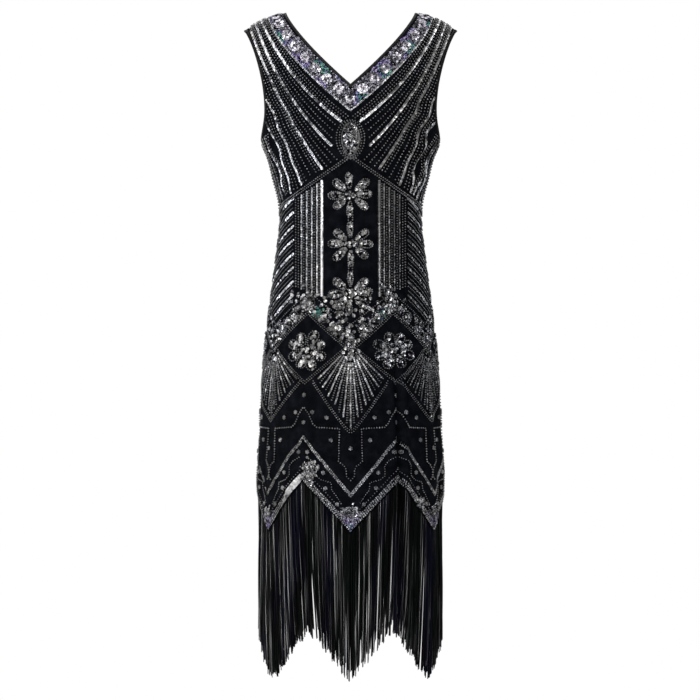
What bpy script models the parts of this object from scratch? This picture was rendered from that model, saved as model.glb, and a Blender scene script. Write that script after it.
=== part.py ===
"""A sleeveless beaded dress with a V neck front and back, a zigzag hem and a long fringe.

It is hollow and keeps the form that it has when it is worn. Metres, +Z up, the front faces -Y,
and +X is the wearer's left. The origin lies midway between the shoulder seams, level with
their neck ends. Every cloth piece is a sheet on one form, given a wall by Solidify. The form
is a stack of rounded sections: a point on it has a level, the distance down from the origin,
and a turn, the angle from the centre line of its side, front or back, to the side seam (90).
"""

import bpy
import numpy as np

# Walls and gaps
CLOTH = 0.0015            # shell mesh, its beads and the lining behind it
FRINGE_WALL = 0.0030      # the strands hang a few deep
SEAM_GAP = 0.0004         # between two pieces that are sewn to each other
LAID_GAP = 0.0006         # between the fringe tape and the shell in front of it

# Sections of the form, from the shoulder seam down to the fringe's end
SECTION_COLUMNS = ("level", "half_width", "front_depth", "back_depth")
SECTIONS = [
    (0.000, 0.215, 0.000, 0.000),  # shoulder seam
    (0.006, 0.212, 0.027, 0.027),
    (0.020, 0.207, 0.046, 0.047),
    (0.045, 0.199, 0.063, 0.067),
    (0.080, 0.188, 0.079, 0.084),
    (0.124, 0.174, 0.094, 0.096),  # bottom of the front V
    (0.172, 0.161, 0.109, 0.102),  # across the shoulder blades
    (0.217, 0.153, 0.119, 0.102),  # underarm
    (0.251, 0.140, 0.123, 0.098),  # bust
    (0.283, 0.132, 0.116, 0.094),
    (0.324, 0.122, 0.101, 0.087),
    (0.362, 0.121, 0.092, 0.083),  # waist
    (0.422, 0.128, 0.097, 0.094),
    (0.492, 0.137, 0.109, 0.112),
    (0.559, 0.145, 0.119, 0.124),  # hip
    (0.646, 0.152, 0.128, 0.131),
    (0.718, 0.155, 0.133, 0.135),
    (0.798, 0.159, 0.135, 0.136),  # peaks of the hem
    (0.884, 0.158, 0.135, 0.135),  # points of the hem
    (1.000, 0.158, 0.134, 0.134),
    (1.160, 0.157, 0.133, 0.133),  # below the fringe's end
]
SQUARENESS = 2.15         # 2 is an ellipse, more is squarer
STEPS_PER_SECTION = 40    # of the smooth curve through the table

# Shoulder, neck and armhole, as outlines that include the binding
SHOULDER_IN = 0.110       # neck end of the shoulder seam, from the centre line
SHOULDER_OUT = 0.183      # its armhole end
SHOULDER_FALL = 0.031     # how much lower its armhole end is
SHOULDER_CURVE = 1.6      # 1 is a straight seam, more falls faster towards the armhole
SHOULDER_FADE = 1.5       # how soon the rows below the seam run level, none at the underarm
NECK_DEPTH = {"front": 0.125, "back": 0.152}
NECK_ROUNDNESS = {"front": 1.3, "back": 1.4}   # 1 is a straight V
UNDERARM = 0.217
ARMHOLE_TURN = {"front": 53.0, "back": 51.0}   # turn of the armhole's edge at the shoulder
ARMHOLE_ROUNDNESS = 3.6   # more keeps the edge straight for longer above the underarm
BINDING_WIDTH = 0.0040
BINDING_WALL = 0.0023
BINDING_PROUD = 0.0004    # how far the binding stands above the shell

# Hem and fringe. The hem has six points: one at each centre, four between, peaks at the sides.
HEM_PEAK, HEM_POINT = 0.797, 0.884
HALF_ZIGZAG = 30.0        # turn from a point to the next peak
FRINGE_LENGTH = 0.256
FRINGE_TUCK = 0.012       # how far its tape reaches up behind the hem

# Fineness of the sheets
COLUMNS = 15              # from centre line to side seam: five for each half zigzag
SHOULDER_LEVELS = [0.0008, 0.004, 0.012, 0.024, 0.042, 0.063, 0.085, 0.105]
CHEST_LEVELS = [0.137, 0.168, 0.190, 0.205, 0.215]
BODY_LEVELS = [0.236, 0.256, 0.283, 0.310, 0.340, 0.375, 0.422, 0.475, 0.535, 0.600, 0.670, 0.735]
ABOVE_HEM = [0.5, 1.0]    # rows below the last body level, as shares of the way to the hem
FRINGE_ROWS = [-FRINGE_TUCK, 0.0, 0.085, 0.170, FRINGE_LENGTH]

BLACK_SHELL = ("black_beaded_mesh", (0.012, 0.012, 0.016), 0.45, 0.15)
BLACK_BINDING = ("black_binding", (0.008, 0.008, 0.010), 0.60, 0.0)
BLACK_FRINGE = ("black_fringe", (0.010, 0.010, 0.014), 0.35, 0.0)

SIGN = {"front": -1.0, "back": 1.0}


def clear_scene():
    for obj in list(bpy.data.objects):
        bpy.data.objects.remove(obj)


def smooth_sections():
    """The table as a dense smooth curve (Catmull-Rom in each column).

    The row before the first is the second seen in the shoulder seam, so the form is level there."""
    rows = np.array(SECTIONS)
    over_the_top = rows[1] * (1, 1, -1, -1)
    padded = np.vstack([over_the_top, rows, 2 * rows[-1] - rows[-2]])
    dense = []
    for before, start, end, after in zip(padded, padded[1:], padded[2:], padded[3:]):
        t = np.arange(STEPS_PER_SECTION)[:, None] / STEPS_PER_SECTION
        dense.append(0.5 * (2 * start + (end - before) * t
                            + (2 * before - 5 * start + 4 * end - after) * t ** 2
                            + (3 * start - before - 3 * end + after) * t ** 3))
    dense = np.vstack(dense + [rows[-1:]])
    return {name: dense[:, i] for i, name in enumerate(SECTION_COLUMNS)}


SECTION_CURVE = smooth_sections()


def section(level, column):
    return np.interp(level, SECTION_CURVE["level"], SECTION_CURVE[column])


def on_form(level, turn, side):
    """Point on the form. turn is in degrees from that side's centre line, to +X."""
    level, turn = np.broadcast_arrays(np.asarray(level, float), np.radians(turn))
    across, along = np.sin(turn), np.cos(turn)
    reach = (np.abs(across) ** SQUARENESS + np.abs(along) ** SQUARENESS) ** (-1 / SQUARENESS)
    x = section(level, "half_width") * reach * across
    y = SIGN[side] * section(level, side + "_depth") * reach * along
    along_seam = np.clip((np.abs(x) - SHOULDER_IN) / (SHOULDER_OUT - SHOULDER_IN), 0, None)
    fading = np.clip(1 - level / UNDERARM, 0, 1) ** SHOULDER_FADE
    z = -level - fading * SHOULDER_FALL * along_seam ** SHOULDER_CURVE
    return np.stack([x, y, z], axis=-1)


def outward(level, turn, side):
    """Unit normal of the form, pointing out."""
    small_level, small_turn = 1e-5, 1e-2
    down = on_form(level + small_level, turn, side) - on_form(level, turn, side)
    round_it = (on_form(level, turn + small_turn, side)
                - on_form(level, turn - small_turn, side))
    normal = np.cross(down, round_it) * -SIGN[side]
    normal /= np.linalg.norm(normal, axis=-1, keepdims=True)
    return normal


def binding_setback():
    return BINDING_WIDTH + SEAM_GAP


def neck_v_angle(side):
    """Half the angle of the V at its bottom, in radians."""
    return np.arctan(NECK_ROUNDNESS[side] * SHOULDER_IN / NECK_DEPTH[side])


def neck_level(side):
    """Level of the shell's own V, below the outline by the binding's mitre."""
    return NECK_DEPTH[side] + binding_setback() / np.sin(neck_v_angle(side))


def neck_turn(level, side):
    """Turn at which a row meets the neck edge of the shell."""
    turns = np.linspace(0.0, 89.0, 891)
    points = on_form(level, turns, side)
    share = np.clip(-points[:, 2] / neck_level(side), 0, 1)
    edge_x = (SHOULDER_IN + binding_setback()) * (1 - share ** NECK_ROUNDNESS[side])
    past = points[:, 0] - edge_x
    return float(np.interp(0.0, past, turns)) if past[0] < 0 else 0.0


def tip_turn(side):
    """Turn of the shoulder seam's armhole end on the first row of the shell."""
    turns = np.linspace(0.0, 89.0, 891)
    x = on_form(0.0, turns, side)[:, 0]
    return float(np.interp(SHOULDER_OUT - binding_setback(), x, turns))


def armhole_level():
    return UNDERARM + binding_setback()


def side_turn(level, side):
    """Turn of the armhole's edge, or of the side seam below the underarm."""
    half_gap = SEAM_GAP / 2
    seam = 90.0 - np.degrees(half_gap / section(level, side + "_depth")) if level > 0.05 else 90.0
    share = min(level / armhole_level(), 1.0)
    top = tip_turn(side)
    dip = ARMHOLE_TURN[side] - top
    edge = top + dip * np.sin(np.pi / 2 * min(share / 0.4, 1.0))
    bow = 1 - np.sqrt(1 - share ** ARMHOLE_ROUNDNESS)
    return min(edge + (90.0 - edge) * bow, seam)


def seam_level(side):
    """Level at which the shell starts, one gap from the shoulder seam's line at mid depth."""
    first = slice(0, STEPS_PER_SECTION)
    depth, level = SECTION_CURVE[side + "_depth"][first], SECTION_CURVE["level"][first]
    return float(np.interp(SEAM_GAP, depth, level))


def hem_level(turn):
    """Zigzag: a point at turn 0, a peak at 30, a point at 60, a peak at the side seam."""
    phase = np.abs((np.asarray(turn) / HALF_ZIGZAG + 1) % 2 - 1)
    return HEM_POINT + (HEM_PEAK - HEM_POINT) * phase


def panel_levels(side):
    """Levels of a shell's plain rows: shoulder, V, chest, underarm, body."""
    v = neck_level(side)
    upper = [seam_level(side), *SHOULDER_LEVELS, *CHEST_LEVELS]
    clear = 0.008
    upper = [level for level in upper if abs(level - v) > clear]
    return sorted([*upper, v, armhole_level()]) + BODY_LEVELS


def panel_grid(side):
    """Half a shell as an array of points, rows from shoulder to hem, columns to the side.

    The second result is the number of rows above the V, whose two halves don't meet."""
    shares = np.linspace(0, 1, COLUMNS + 1)
    rows, straps = [], 0
    for level in panel_levels(side):
        start, end = neck_turn(level, side), side_turn(level, side)
        if level < neck_level(side) - 1e-6:
            straps += 1
        else:
            start = 0.0
        rows.append(on_form(level, start + (end - start) * shares, side))
    top = BODY_LEVELS[-1]
    turns = side_turn(top, side) * shares
    for share in ABOVE_HEM:
        rows.append(on_form(top + (hem_level(90.0 * shares) - top) * share, turns, side))
    return np.array(rows), straps


def fringe_grid(side):
    """Half a fringe, set in behind the shell by its wall."""
    shares = np.linspace(0, 1, COLUMNS + 1)
    rows = []
    for drop in FRINGE_ROWS:
        levels = hem_level(90.0 * shares) + drop
        turns = side_turn(HEM_POINT, side) * shares
        inset = CLOTH + LAID_GAP
        normals = outward(levels, turns, side)
        points = on_form(levels, turns, side) - normals * inset
        points[0, 0] = 0.0
        rows.append(points)
    return np.array(rows)


def material(name, colour, roughness, metallic):
    found = bpy.data.materials.get(name)
    if found:
        return found
    made = bpy.data.materials.new(name)
    made.use_nodes = True
    shader = made.node_tree.nodes["Principled BSDF"]
    shader.inputs["Base Color"].default_value = (*colour, 1.0)
    shader.inputs["Roughness"].default_value = roughness
    shader.inputs["Metallic"].default_value = metallic
    return made


def cloth_object(name, points, faces, wall, finish):
    """A sheet with its faces pointing out, given a wall on its inner side."""
    mesh = bpy.data.meshes.new(name)
    mesh.from_pydata([tuple(p) for p in points], [], faces)
    mesh.validate()
    obj = bpy.data.objects.new(name, mesh)
    bpy.context.collection.objects.link(obj)
    solidify = obj.modifiers.new("wall", "SOLIDIFY")
    solidify.thickness = wall
    solidify.offset = -1.0
    solidify.use_even_offset = True
    mesh.materials.append(material(*finish))
    mesh.shade_smooth()
    return obj


def mirrored_sheet(grid, straps, side):
    """Points and faces of a half grid and its mirror image, sharing the centre column."""
    rows, columns = grid.shape[:2]
    right = np.arange(rows * columns).reshape(rows, columns)
    left = right + rows * columns
    left[straps:, 0] = right[straps:, 0]
    points = np.vstack([grid.reshape(-1, 3), grid.reshape(-1, 3) * (-1, 1, 1)])
    faces = []
    for index, flip in ((right, False), (left, True)):
        corners = np.stack([index[:-1, :-1], index[1:, :-1], index[1:, 1:], index[:-1, 1:]], -1)
        quads = corners.reshape(-1, 4)
        if flip != (side == "back"):
            quads = quads[:, ::-1]
        faces += quads.tolist()
    used = np.unique(np.array(faces))
    renumber = {int(old): new for new, old in enumerate(used)}
    return points[used], [[renumber[i] for i in face] for face in faces]


def make_panel(side):
    grid, straps = panel_grid(side)
    points, faces = mirrored_sheet(grid, straps, side)
    return cloth_object(side + "_panel", points, faces, CLOTH, BLACK_SHELL)


def make_fringe(side):
    points, faces = mirrored_sheet(fringe_grid(side), 0, side)
    return cloth_object("fringe_" + side, points, faces, FRINGE_WALL, BLACK_FRINGE)


def edge_run(side, edge):
    """Points and normals along the neck or armhole edge of half a shell, from the shoulder."""
    last = neck_level(side) if edge == "neck" else armhole_level()
    levels = [level for level in panel_levels(side) if level <= last + 1e-6]
    find_turn = neck_turn if edge == "neck" else side_turn
    turns = [find_turn(level, side) for level in levels]
    if edge == "neck":
        turns[-1] = 0.0
    points = np.array([on_form(level, turn, side) for level, turn in zip(levels, turns)])
    normals = np.array([outward(level, turn, side) for level, turn in zip(levels, turns)])
    return points, normals


def bound_edge(name, loop, normals, away):
    """A closed ribbon beside a cloth edge, mitred, with its wall centred on the cloth's.

    away(i) is a point on the far side of the cloth edge, which tells which way is out."""
    count = len(loop)
    following, leading = np.roll(loop, -1, axis=0), np.roll(loop, 1, axis=0)

    def sideways(direction):
        across = np.cross(direction, normals)
        across /= np.linalg.norm(across, axis=1, keepdims=True)
        return across * np.sign(np.sum(across * (away - loop), axis=1))[:, None]

    after, before = sideways(following - loop), sideways(loop - leading)
    mitre = after + before
    mitre /= np.linalg.norm(mitre, axis=1, keepdims=True)
    stretch = 1 / np.maximum(np.sum(mitre * after, axis=1), 0.3)[:, None]
    raised = loop + normals * BINDING_PROUD
    near = raised + mitre * stretch * SEAM_GAP
    far = raised + mitre * stretch * binding_setback()
    points = np.vstack([near, far])
    outer = np.cross(following - loop, after)
    faces = []
    for i in range(count):
        j = (i + 1) % count
        quad = [i, j, count + j, count + i]
        faces.append(quad if np.dot(outer[i], normals[i]) > 0 else quad[::-1])
    return cloth_object(name, points, faces, BINDING_WALL, BLACK_BINDING)


def make_neck_binding():
    """One strip round the whole neck: right front, right back, left back, left front."""
    mirror = np.array([-1, 1, 1])
    front, front_out = edge_run("front", "neck")
    back, back_out = edge_run("back", "neck")
    loop = np.vstack([front[::-1], back, back[-2::-1] * mirror, front[:-1] * mirror])
    normals = np.vstack([front_out[::-1], back_out, back_out[-2::-1] * mirror,
                         front_out[:-1] * mirror])
    centre = np.zeros_like(loop)
    centre[:, 2] = loop[:, 2] + 0.1
    return bound_edge("neck_binding", loop, normals, centre)


def make_armhole_binding(name, mirror):
    front, front_out = edge_run("front", "armhole")
    back, back_out = edge_run("back", "armhole")
    loop = np.vstack([front, back[-2::-1]]) * mirror
    normals = np.vstack([front_out, back_out[-2::-1]]) * mirror
    hole_centre = np.array([0.25, 0.0, -0.12]) * mirror
    return bound_edge(name, loop, normals, np.broadcast_to(hole_centre, loop.shape))


clear_scene()
for panel_side in ("front", "back"):
    make_panel(panel_side)
    make_fringe(panel_side)
make_neck_binding()
make_armhole_binding("armhole_binding_left", np.array([1, 1, 1]))
make_armhole_binding("armhole_binding_right", np.array([-1, 1, 1]))
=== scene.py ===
import bpy
import numpy as np
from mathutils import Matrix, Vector


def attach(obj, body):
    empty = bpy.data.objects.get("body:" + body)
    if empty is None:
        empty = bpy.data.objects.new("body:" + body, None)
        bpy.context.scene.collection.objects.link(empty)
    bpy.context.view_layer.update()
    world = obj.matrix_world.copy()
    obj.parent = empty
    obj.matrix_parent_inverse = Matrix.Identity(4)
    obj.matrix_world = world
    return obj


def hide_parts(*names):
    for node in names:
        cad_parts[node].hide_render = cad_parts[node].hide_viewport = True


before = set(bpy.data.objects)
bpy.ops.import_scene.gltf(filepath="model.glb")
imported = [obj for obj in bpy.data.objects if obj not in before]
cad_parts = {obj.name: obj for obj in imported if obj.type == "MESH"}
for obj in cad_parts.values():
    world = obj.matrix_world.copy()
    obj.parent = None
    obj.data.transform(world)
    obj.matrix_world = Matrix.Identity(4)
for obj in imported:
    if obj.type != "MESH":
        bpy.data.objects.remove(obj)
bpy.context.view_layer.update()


# ---- The shell ----
# Front and back of black net over a black knit lining, joined at the shoulders and sides. It
# keeps the round form of a worn dress, so a point on it has a level, the distance down from the
# shoulder seams, and a turn, the angle from the middle of its side to the side seam at 90.

SECTION_COLUMNS = ("level", "half_width", "front_depth", "back_depth")
SECTIONS = [
    (0.000, 0.215, 0.000, 0.000),  # shoulder seam
    (0.006, 0.212, 0.027, 0.027),
    (0.020, 0.207, 0.046, 0.047),
    (0.045, 0.199, 0.063, 0.067),
    (0.080, 0.188, 0.079, 0.084),
    (0.124, 0.174, 0.094, 0.096),  # bottom of the front V
    (0.172, 0.161, 0.109, 0.102),
    (0.217, 0.153, 0.119, 0.102),  # underarm
    (0.251, 0.140, 0.123, 0.098),  # bust
    (0.283, 0.132, 0.116, 0.094),
    (0.324, 0.122, 0.101, 0.087),
    (0.362, 0.121, 0.092, 0.083),  # waist
    (0.422, 0.128, 0.097, 0.094),
    (0.492, 0.137, 0.109, 0.112),
    (0.559, 0.145, 0.119, 0.124),  # hip
    (0.646, 0.152, 0.128, 0.131),
    (0.718, 0.155, 0.133, 0.135),
    (0.798, 0.159, 0.135, 0.136),  # peaks of the hem
    (0.884, 0.158, 0.135, 0.135),  # points of the hem
    (1.000, 0.158, 0.134, 0.134),
    (1.160, 0.157, 0.133, 0.133),  # below the fringe's end
]
SQUARENESS = 2.15
STEPS_PER_SECTION = 40
SHOULDER_IN, SHOULDER_OUT = 0.110, 0.183
SHOULDER_FALL, SHOULDER_CURVE, SHOULDER_FADE = 0.031, 1.6, 1.5
NECK_DEPTH = {"front": 0.125, "back": 0.152}
NECK_ROUNDNESS = {"front": 1.3, "back": 1.4}
UNDERARM = 0.217
ARMHOLE_TURN = {"front": 53.0, "back": 51.0}
ARMHOLE_ROUNDNESS = 3.6
ARMHOLE_TOP = 0.4             # share of its height over which it turns in from the shoulder
BINDING = 0.0044              # width of a binding with its seam
HEM_PEAK, HEM_POINT = 0.797, 0.884
HALF_ZIGZAG = 30.0            # degrees from a peak to a point
SIGN = {"front": -1.0, "back": 1.0}
SIDES = ("front", "back")
HANDS = (-1, 1)               # the wearer's right and left


def smooth_sections():
    """The table as a smooth curve (Catmull-Rom), its first row seen again in the shoulder seam."""
    rows = np.array(SECTIONS)
    padded = np.vstack([rows[1] * (1, 1, -1, -1), rows, 2 * rows[-1] - rows[-2]])
    dense = []
    for before, start, end, after in zip(padded, padded[1:], padded[2:], padded[3:]):
        t = np.arange(STEPS_PER_SECTION)[:, None] / STEPS_PER_SECTION
        dense.append(0.5 * (2 * start + (end - before) * t
                            + (2 * before - 5 * start + 4 * end - after) * t ** 2
                            + (3 * start - before - 3 * end + after) * t ** 3))
    dense = np.vstack(dense + [rows[-1:]])
    return {name: dense[:, i] for i, name in enumerate(SECTION_COLUMNS)}


SECTION_CURVE = smooth_sections()


def section(level, column):
    """A column of the smooth table at a level, straight between its rows."""
    return np.interp(level, SECTION_CURVE["level"], SECTION_CURVE[column])


def shoulder_drop(level, x):
    """How far a point hangs below its level: most on the seam's armhole end, none by the neck."""
    along_seam = np.clip((np.abs(x) - SHOULDER_IN) / (SHOULDER_OUT - SHOULDER_IN), 0, None)
    fading = np.clip(1 - level / UNDERARM, 0, 1) ** SHOULDER_FADE
    return fading * SHOULDER_FALL * along_seam ** SHOULDER_CURVE


def on_form(level, turn, side):
    """A rounded section: |x / half width| and |y / depth|, each to the squareness, add up to 1."""
    level, turn = np.broadcast_arrays(np.asarray(level, float), np.radians(turn))
    across, along = np.sin(turn), np.cos(turn)
    reach = (np.abs(across) ** SQUARENESS + np.abs(along) ** SQUARENESS) ** (-1 / SQUARENESS)
    x = section(level, "half_width") * reach * across
    y = SIGN[side] * section(level, side + "_depth") * reach * along
    return np.stack([x, y, -level - shoulder_drop(level, x)], axis=-1)


def unit(vectors):
    """Vectors divided by their lengths."""
    return vectors / np.maximum(np.linalg.norm(vectors, axis=-1, keepdims=True), 1e-12)


def outward(surface, level, turn, side, step_down=1e-5, step_round=1e-2):
    """Unit normal of a surface: the cross product of its small steps down and round."""
    down = surface(level + step_down, turn, side) - surface(level, turn, side)
    round_it = surface(level, turn + step_round, side) - surface(level, turn - step_round, side)
    return unit(np.cross(down, round_it) * -SIGN[side])


def turn_at(x, level):
    """The turn of a point seen at x, where the tangent is (q / (1 - q)) ** (1 / squareness)
    and q is |x / half width| ** squareness."""
    q = np.clip(np.abs(x) / section(level, "half_width"), 0, 0.99995) ** SQUARENESS
    return np.sign(x) * np.degrees(np.arctan((q / (1 - q)) ** (1 / SQUARENESS)))


def neck_v_angle(side):
    """Half the angle of the V at its bottom: its tangent is the edge's slope there."""
    return np.arctan(NECK_ROUNDNESS[side] * SHOULDER_IN / NECK_DEPTH[side])


def neck_level(side):
    """Level of the bottom of the shell's V, a binding's width outside the neck edge."""
    return NECK_DEPTH[side] + BINDING / np.sin(neck_v_angle(side))


def neck_turn(level, side):
    """Turn of the shell's neck edge, 0 below the V: its x falls as 1 - share ** roundness."""
    share = np.clip(level / neck_level(side), 0, 1)
    return turn_at((SHOULDER_IN + BINDING) * (1 - share ** NECK_ROUNDNESS[side]), level)


def side_turn(level, side):
    """Turn of the armhole's edge: a quarter sine in from the shoulder, then upright, and out by
    1 - sqrt(1 - share ** roundness) of the rest to the side seam at the underarm."""
    share = np.clip(np.asarray(level, float) / (UNDERARM + BINDING), 0, 1)
    top = turn_at(SHOULDER_OUT - BINDING, 0.0)
    edge = top + (ARMHOLE_TURN[side] - top) * np.sin(np.pi / 2 * np.clip(share / ARMHOLE_TOP, 0, 1))
    bow = 1 - np.sqrt(1 - share ** ARMHOLE_ROUNDNESS)
    return edge + (90.0 - edge) * bow


def zigzag(turn, peak, point):
    """A level that is the point at turns 0 and 60 and the peak at 30 and 90."""
    phase = np.abs((np.abs(turn) / HALF_ZIGZAG + 1) % 2 - 1)
    return point + (peak - point) * phase


def hem_level(turn):
    """Level of the hem, the zigzag between its peaks and its points."""
    return zigzag(turn, HEM_PEAK, HEM_POINT)


ROUND = 0.0025                # metres round the dress for each degree of turn
# Side, then level and turn of each end, half width and depth of the trough
CREASES = [
    ("front", 0.610, 30.5, 0.850, 32.0, 0.0052, 0.0105),   # the long fold down the skirt
    ("front", 0.690, -33.0, 0.820, -31.0, 0.0100, 0.0030),
    ("front", 0.640, 66.0, 0.870, 70.0, 0.0100, 0.0035),
    ("front", 0.600, -60.0, 0.850, -68.0, 0.0110, 0.0030),
    ("front", 0.215, 66.0, 0.290, 48.0, 0.0060, 0.0026),   # drags from the underarms
    ("front", 0.235, 74.0, 0.330, 62.0, 0.0050, 0.0024),
    ("front", 0.190, 58.0, 0.245, 46.0, 0.0055, 0.0020),
    ("front", 0.225, -70.0, 0.300, -55.0, 0.0065, 0.0020),
    ("front", 0.345, 70.0, 0.352, 86.0, 0.0040, 0.0016),   # the waist
    ("front", 0.375, 62.0, 0.368, 84.0, 0.0045, 0.0018),
    ("front", 0.352, -64.0, 0.362, -86.0, 0.0045, 0.0018),
    ("front", 0.392, -70.0, 0.380, -86.0, 0.0040, 0.0014),
    ("back", 0.330, -38.0, 0.338, 30.0, 0.0060, 0.0022),
    ("back", 0.362, -25.0, 0.356, 46.0, 0.0065, 0.0026),
    ("back", 0.395, -44.0, 0.402, 12.0, 0.0060, 0.0020),
    ("back", 0.225, 58.0, 0.290, 44.0, 0.0060, 0.0022),
    ("back", 0.230, -64.0, 0.300, -47.0, 0.0065, 0.0024),
    ("back", 0.590, -22.0, 0.840, -27.0, 0.0070, 0.0050),
    ("back", 0.620, 12.0, 0.870, 10.0, 0.0100, 0.0032),
    ("back", 0.640, 50.0, 0.850, 56.0, 0.0090, 0.0040),
    ("back", 0.660, -62.0, 0.850, -60.0, 0.0090, 0.0030),
]
RIDGE, RIDGE_AWAY = 0.4, 2.2  # height of the ridges by a trough's depth, and place by its width
SKIRT_WAVE = 0.0015
SKIRT_TOP = (0.50, 0.35)      # level where the skirt starts to wave, and over how far it grows
EDGE_FADE = 8                 # degrees


def ease(value, start, over):
    """0 up to a start, 1 from so far over it, and straight in between."""
    return np.clip((value - start) / over, 0, 1)


def crease(level, turn, side):
    """Soft troughs, exp(-(distance / width) ** 2) deep and deepest half way, with a low ridge on
    each side, on a skirt that waves by two sines of its turn. All of it fades out at the neck,
    armholes and side seams."""
    level, turn = np.broadcast_arrays(np.asarray(level, float), np.asarray(turn, float))
    place = np.stack([level, turn * ROUND], axis=-1)
    height = np.zeros(level.shape)
    for crease_side, level_0, turn_0, level_1, turn_1, width, depth in CREASES:
        if crease_side != side:
            continue
        start = np.array([level_0, turn_0 * ROUND])
        run = np.array([level_1, turn_1 * ROUND]) - start
        share = np.clip((place - start) @ run / (run @ run), 0, 1)
        away = np.linalg.norm(place - start - share[..., None] * run, axis=-1) / width
        swell = np.sin(np.pi * (share * 0.9 + 0.05)) ** 0.5
        height += depth * swell * (RIDGE * np.exp(-(away - RIDGE_AWAY) ** 2) - np.exp(-away ** 2))
    angle = np.radians(turn)
    waves = np.sin(angle * 7 + 0.8 * SIGN[side]) + 0.7 * np.sin(angle * 12 + 2)
    height += SKIRT_WAVE * ease(level, *SKIRT_TOP) ** 1.5 * waves
    to_side = ease(side_turn(level, side), np.abs(turn), EDGE_FADE)
    to_neck = ease(np.abs(turn), neck_turn(level, side), EDGE_FADE)
    to_neck = np.where(level < neck_level(side) + 0.02, to_neck, 1.0)
    return height * to_side ** 0.8 * to_neck


def on_dress(level, turn, side):
    """The form, raised or sunk along its normal by the creases."""
    raised = crease(level, turn, side)[..., None]
    return on_form(level, turn, side) + outward(on_form, level, turn, side) * raised


def new_object(name, points, faces, material, uv=None, smooth=True, uv_name="cloth"):
    """A mesh from arrays of points and of faces that all have as many corners. The uv array
    holds a place on the map for each point."""
    mesh = bpy.data.meshes.new(name)
    corners = faces.shape[1]
    mesh.vertices.add(len(points))
    mesh.vertices.foreach_set("co", np.ascontiguousarray(points, np.float32).ravel())
    mesh.loops.add(faces.size)
    mesh.loops.foreach_set("vertex_index", np.ascontiguousarray(faces, np.int32).ravel())
    mesh.polygons.add(len(faces))
    mesh.polygons.foreach_set("loop_start", np.arange(len(faces), dtype=np.int32) * corners)
    mesh.polygons.foreach_set("use_smooth", np.full(len(faces), smooth))
    if uv is not None:
        layer = mesh.uv_layers.new(name=uv_name)
        layer.uv.foreach_set("vector", np.ascontiguousarray(uv[faces.ravel()], np.float32).ravel())
    mesh.update(calc_edges=True)
    mesh.validate()
    mesh.materials.append(material)
    obj = bpy.data.objects.new(name, mesh)
    bpy.context.collection.objects.link(obj)
    return obj


SHELL_COLUMNS = 60            # from the middle to the side seam
YOKE_ROWS, CHEST_ROWS, BODY_ROWS, HEM_ROWS = 44, 36, 150, 22
YOKE_CLOSENESS = 1.8          # power by which the rows crowd towards the shoulder
LAST_PLAIN_LEVEL = 0.735      # below it the rows bend to the zigzag
SHELL_WALL = 0.0012


def shell_grid(side):
    """Half a shell: levels in rows, close together over the shoulder and at the underarm, and
    turns in columns that run from the neck edge, or the middle, to the armhole or side seam."""
    share = np.linspace(0, 1, SHELL_COLUMNS + 1)
    neck, underarm = neck_level(side), UNDERARM + BINDING
    yoke = neck * (np.arange(YOKE_ROWS) / YOKE_ROWS) ** YOKE_CLOSENESS
    chest = neck + (underarm - neck) * (1 - (1 - np.arange(CHEST_ROWS) / CHEST_ROWS) ** 2)
    body = np.linspace(underarm, LAST_PLAIN_LEVEL, BODY_ROWS)
    level = np.concatenate([yoke, chest, body])[:, None] + 0 * share
    start, end = neck_turn(level, side), side_turn(level, side)
    start[YOKE_ROWS:] = 0
    turn = start + (end - start) * share
    below = np.linspace(0, 1, HEM_ROWS + 1)[1:, None]
    to_hem = LAST_PLAIN_LEVEL + (hem_level(90 * share) - LAST_PLAIN_LEVEL) * below
    return np.vstack([level, to_hem]), np.vstack([turn, 0 * to_hem + turn[-1]])


def two_halves(level, turn, open_rows, side):
    """A half grid and its mirror image. They share the middle column below the open rows."""
    rows, columns = level.shape
    left = np.arange(rows * columns).reshape(rows, columns)
    right = left + rows * columns
    right[open_rows:, 0] = left[open_rows:, 0]
    level = np.concatenate([level.ravel(), level.ravel()])
    turn = np.concatenate([turn.ravel(), -turn.ravel()])
    faces = []
    for index, flipped in ((left, False), (right, True)):
        quads = np.stack([index[:-1, :-1], index[1:, :-1], index[1:, 1:], index[:-1, 1:]], -1)
        quads = quads.reshape(-1, 4)
        faces.append(quads[:, ::-1] if flipped != (side == "back") else quads)
    faces = np.vstack(faces)
    used, faces = np.unique(faces, return_inverse=True)
    return level[used], turn[used], faces.reshape(-1, 4)


class Wire:
    """A node's output. Sums, differences and products of wires and numbers add Math nodes."""

    def __init__(self, finish, socket):
        self.finish, self.socket = finish, socket

    def maths(self, operation, first, second):
        return self.finish.node("ShaderNodeMath", {"operation": operation}, {0: first, 1: second})

    def __add__(self, other):
        return self.maths("ADD", self, other)

    def __sub__(self, other):
        return self.maths("SUBTRACT", self, other)

    def __rsub__(self, other):
        return self.maths("SUBTRACT", other, self)

    def __mul__(self, other):
        return self.maths("MULTIPLY", self, other)

    __radd__, __rmul__ = __add__, __mul__

    def sine(self):
        return self.finish.node("ShaderNodeMath", {"operation": "SINE"}, {0: self})


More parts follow.
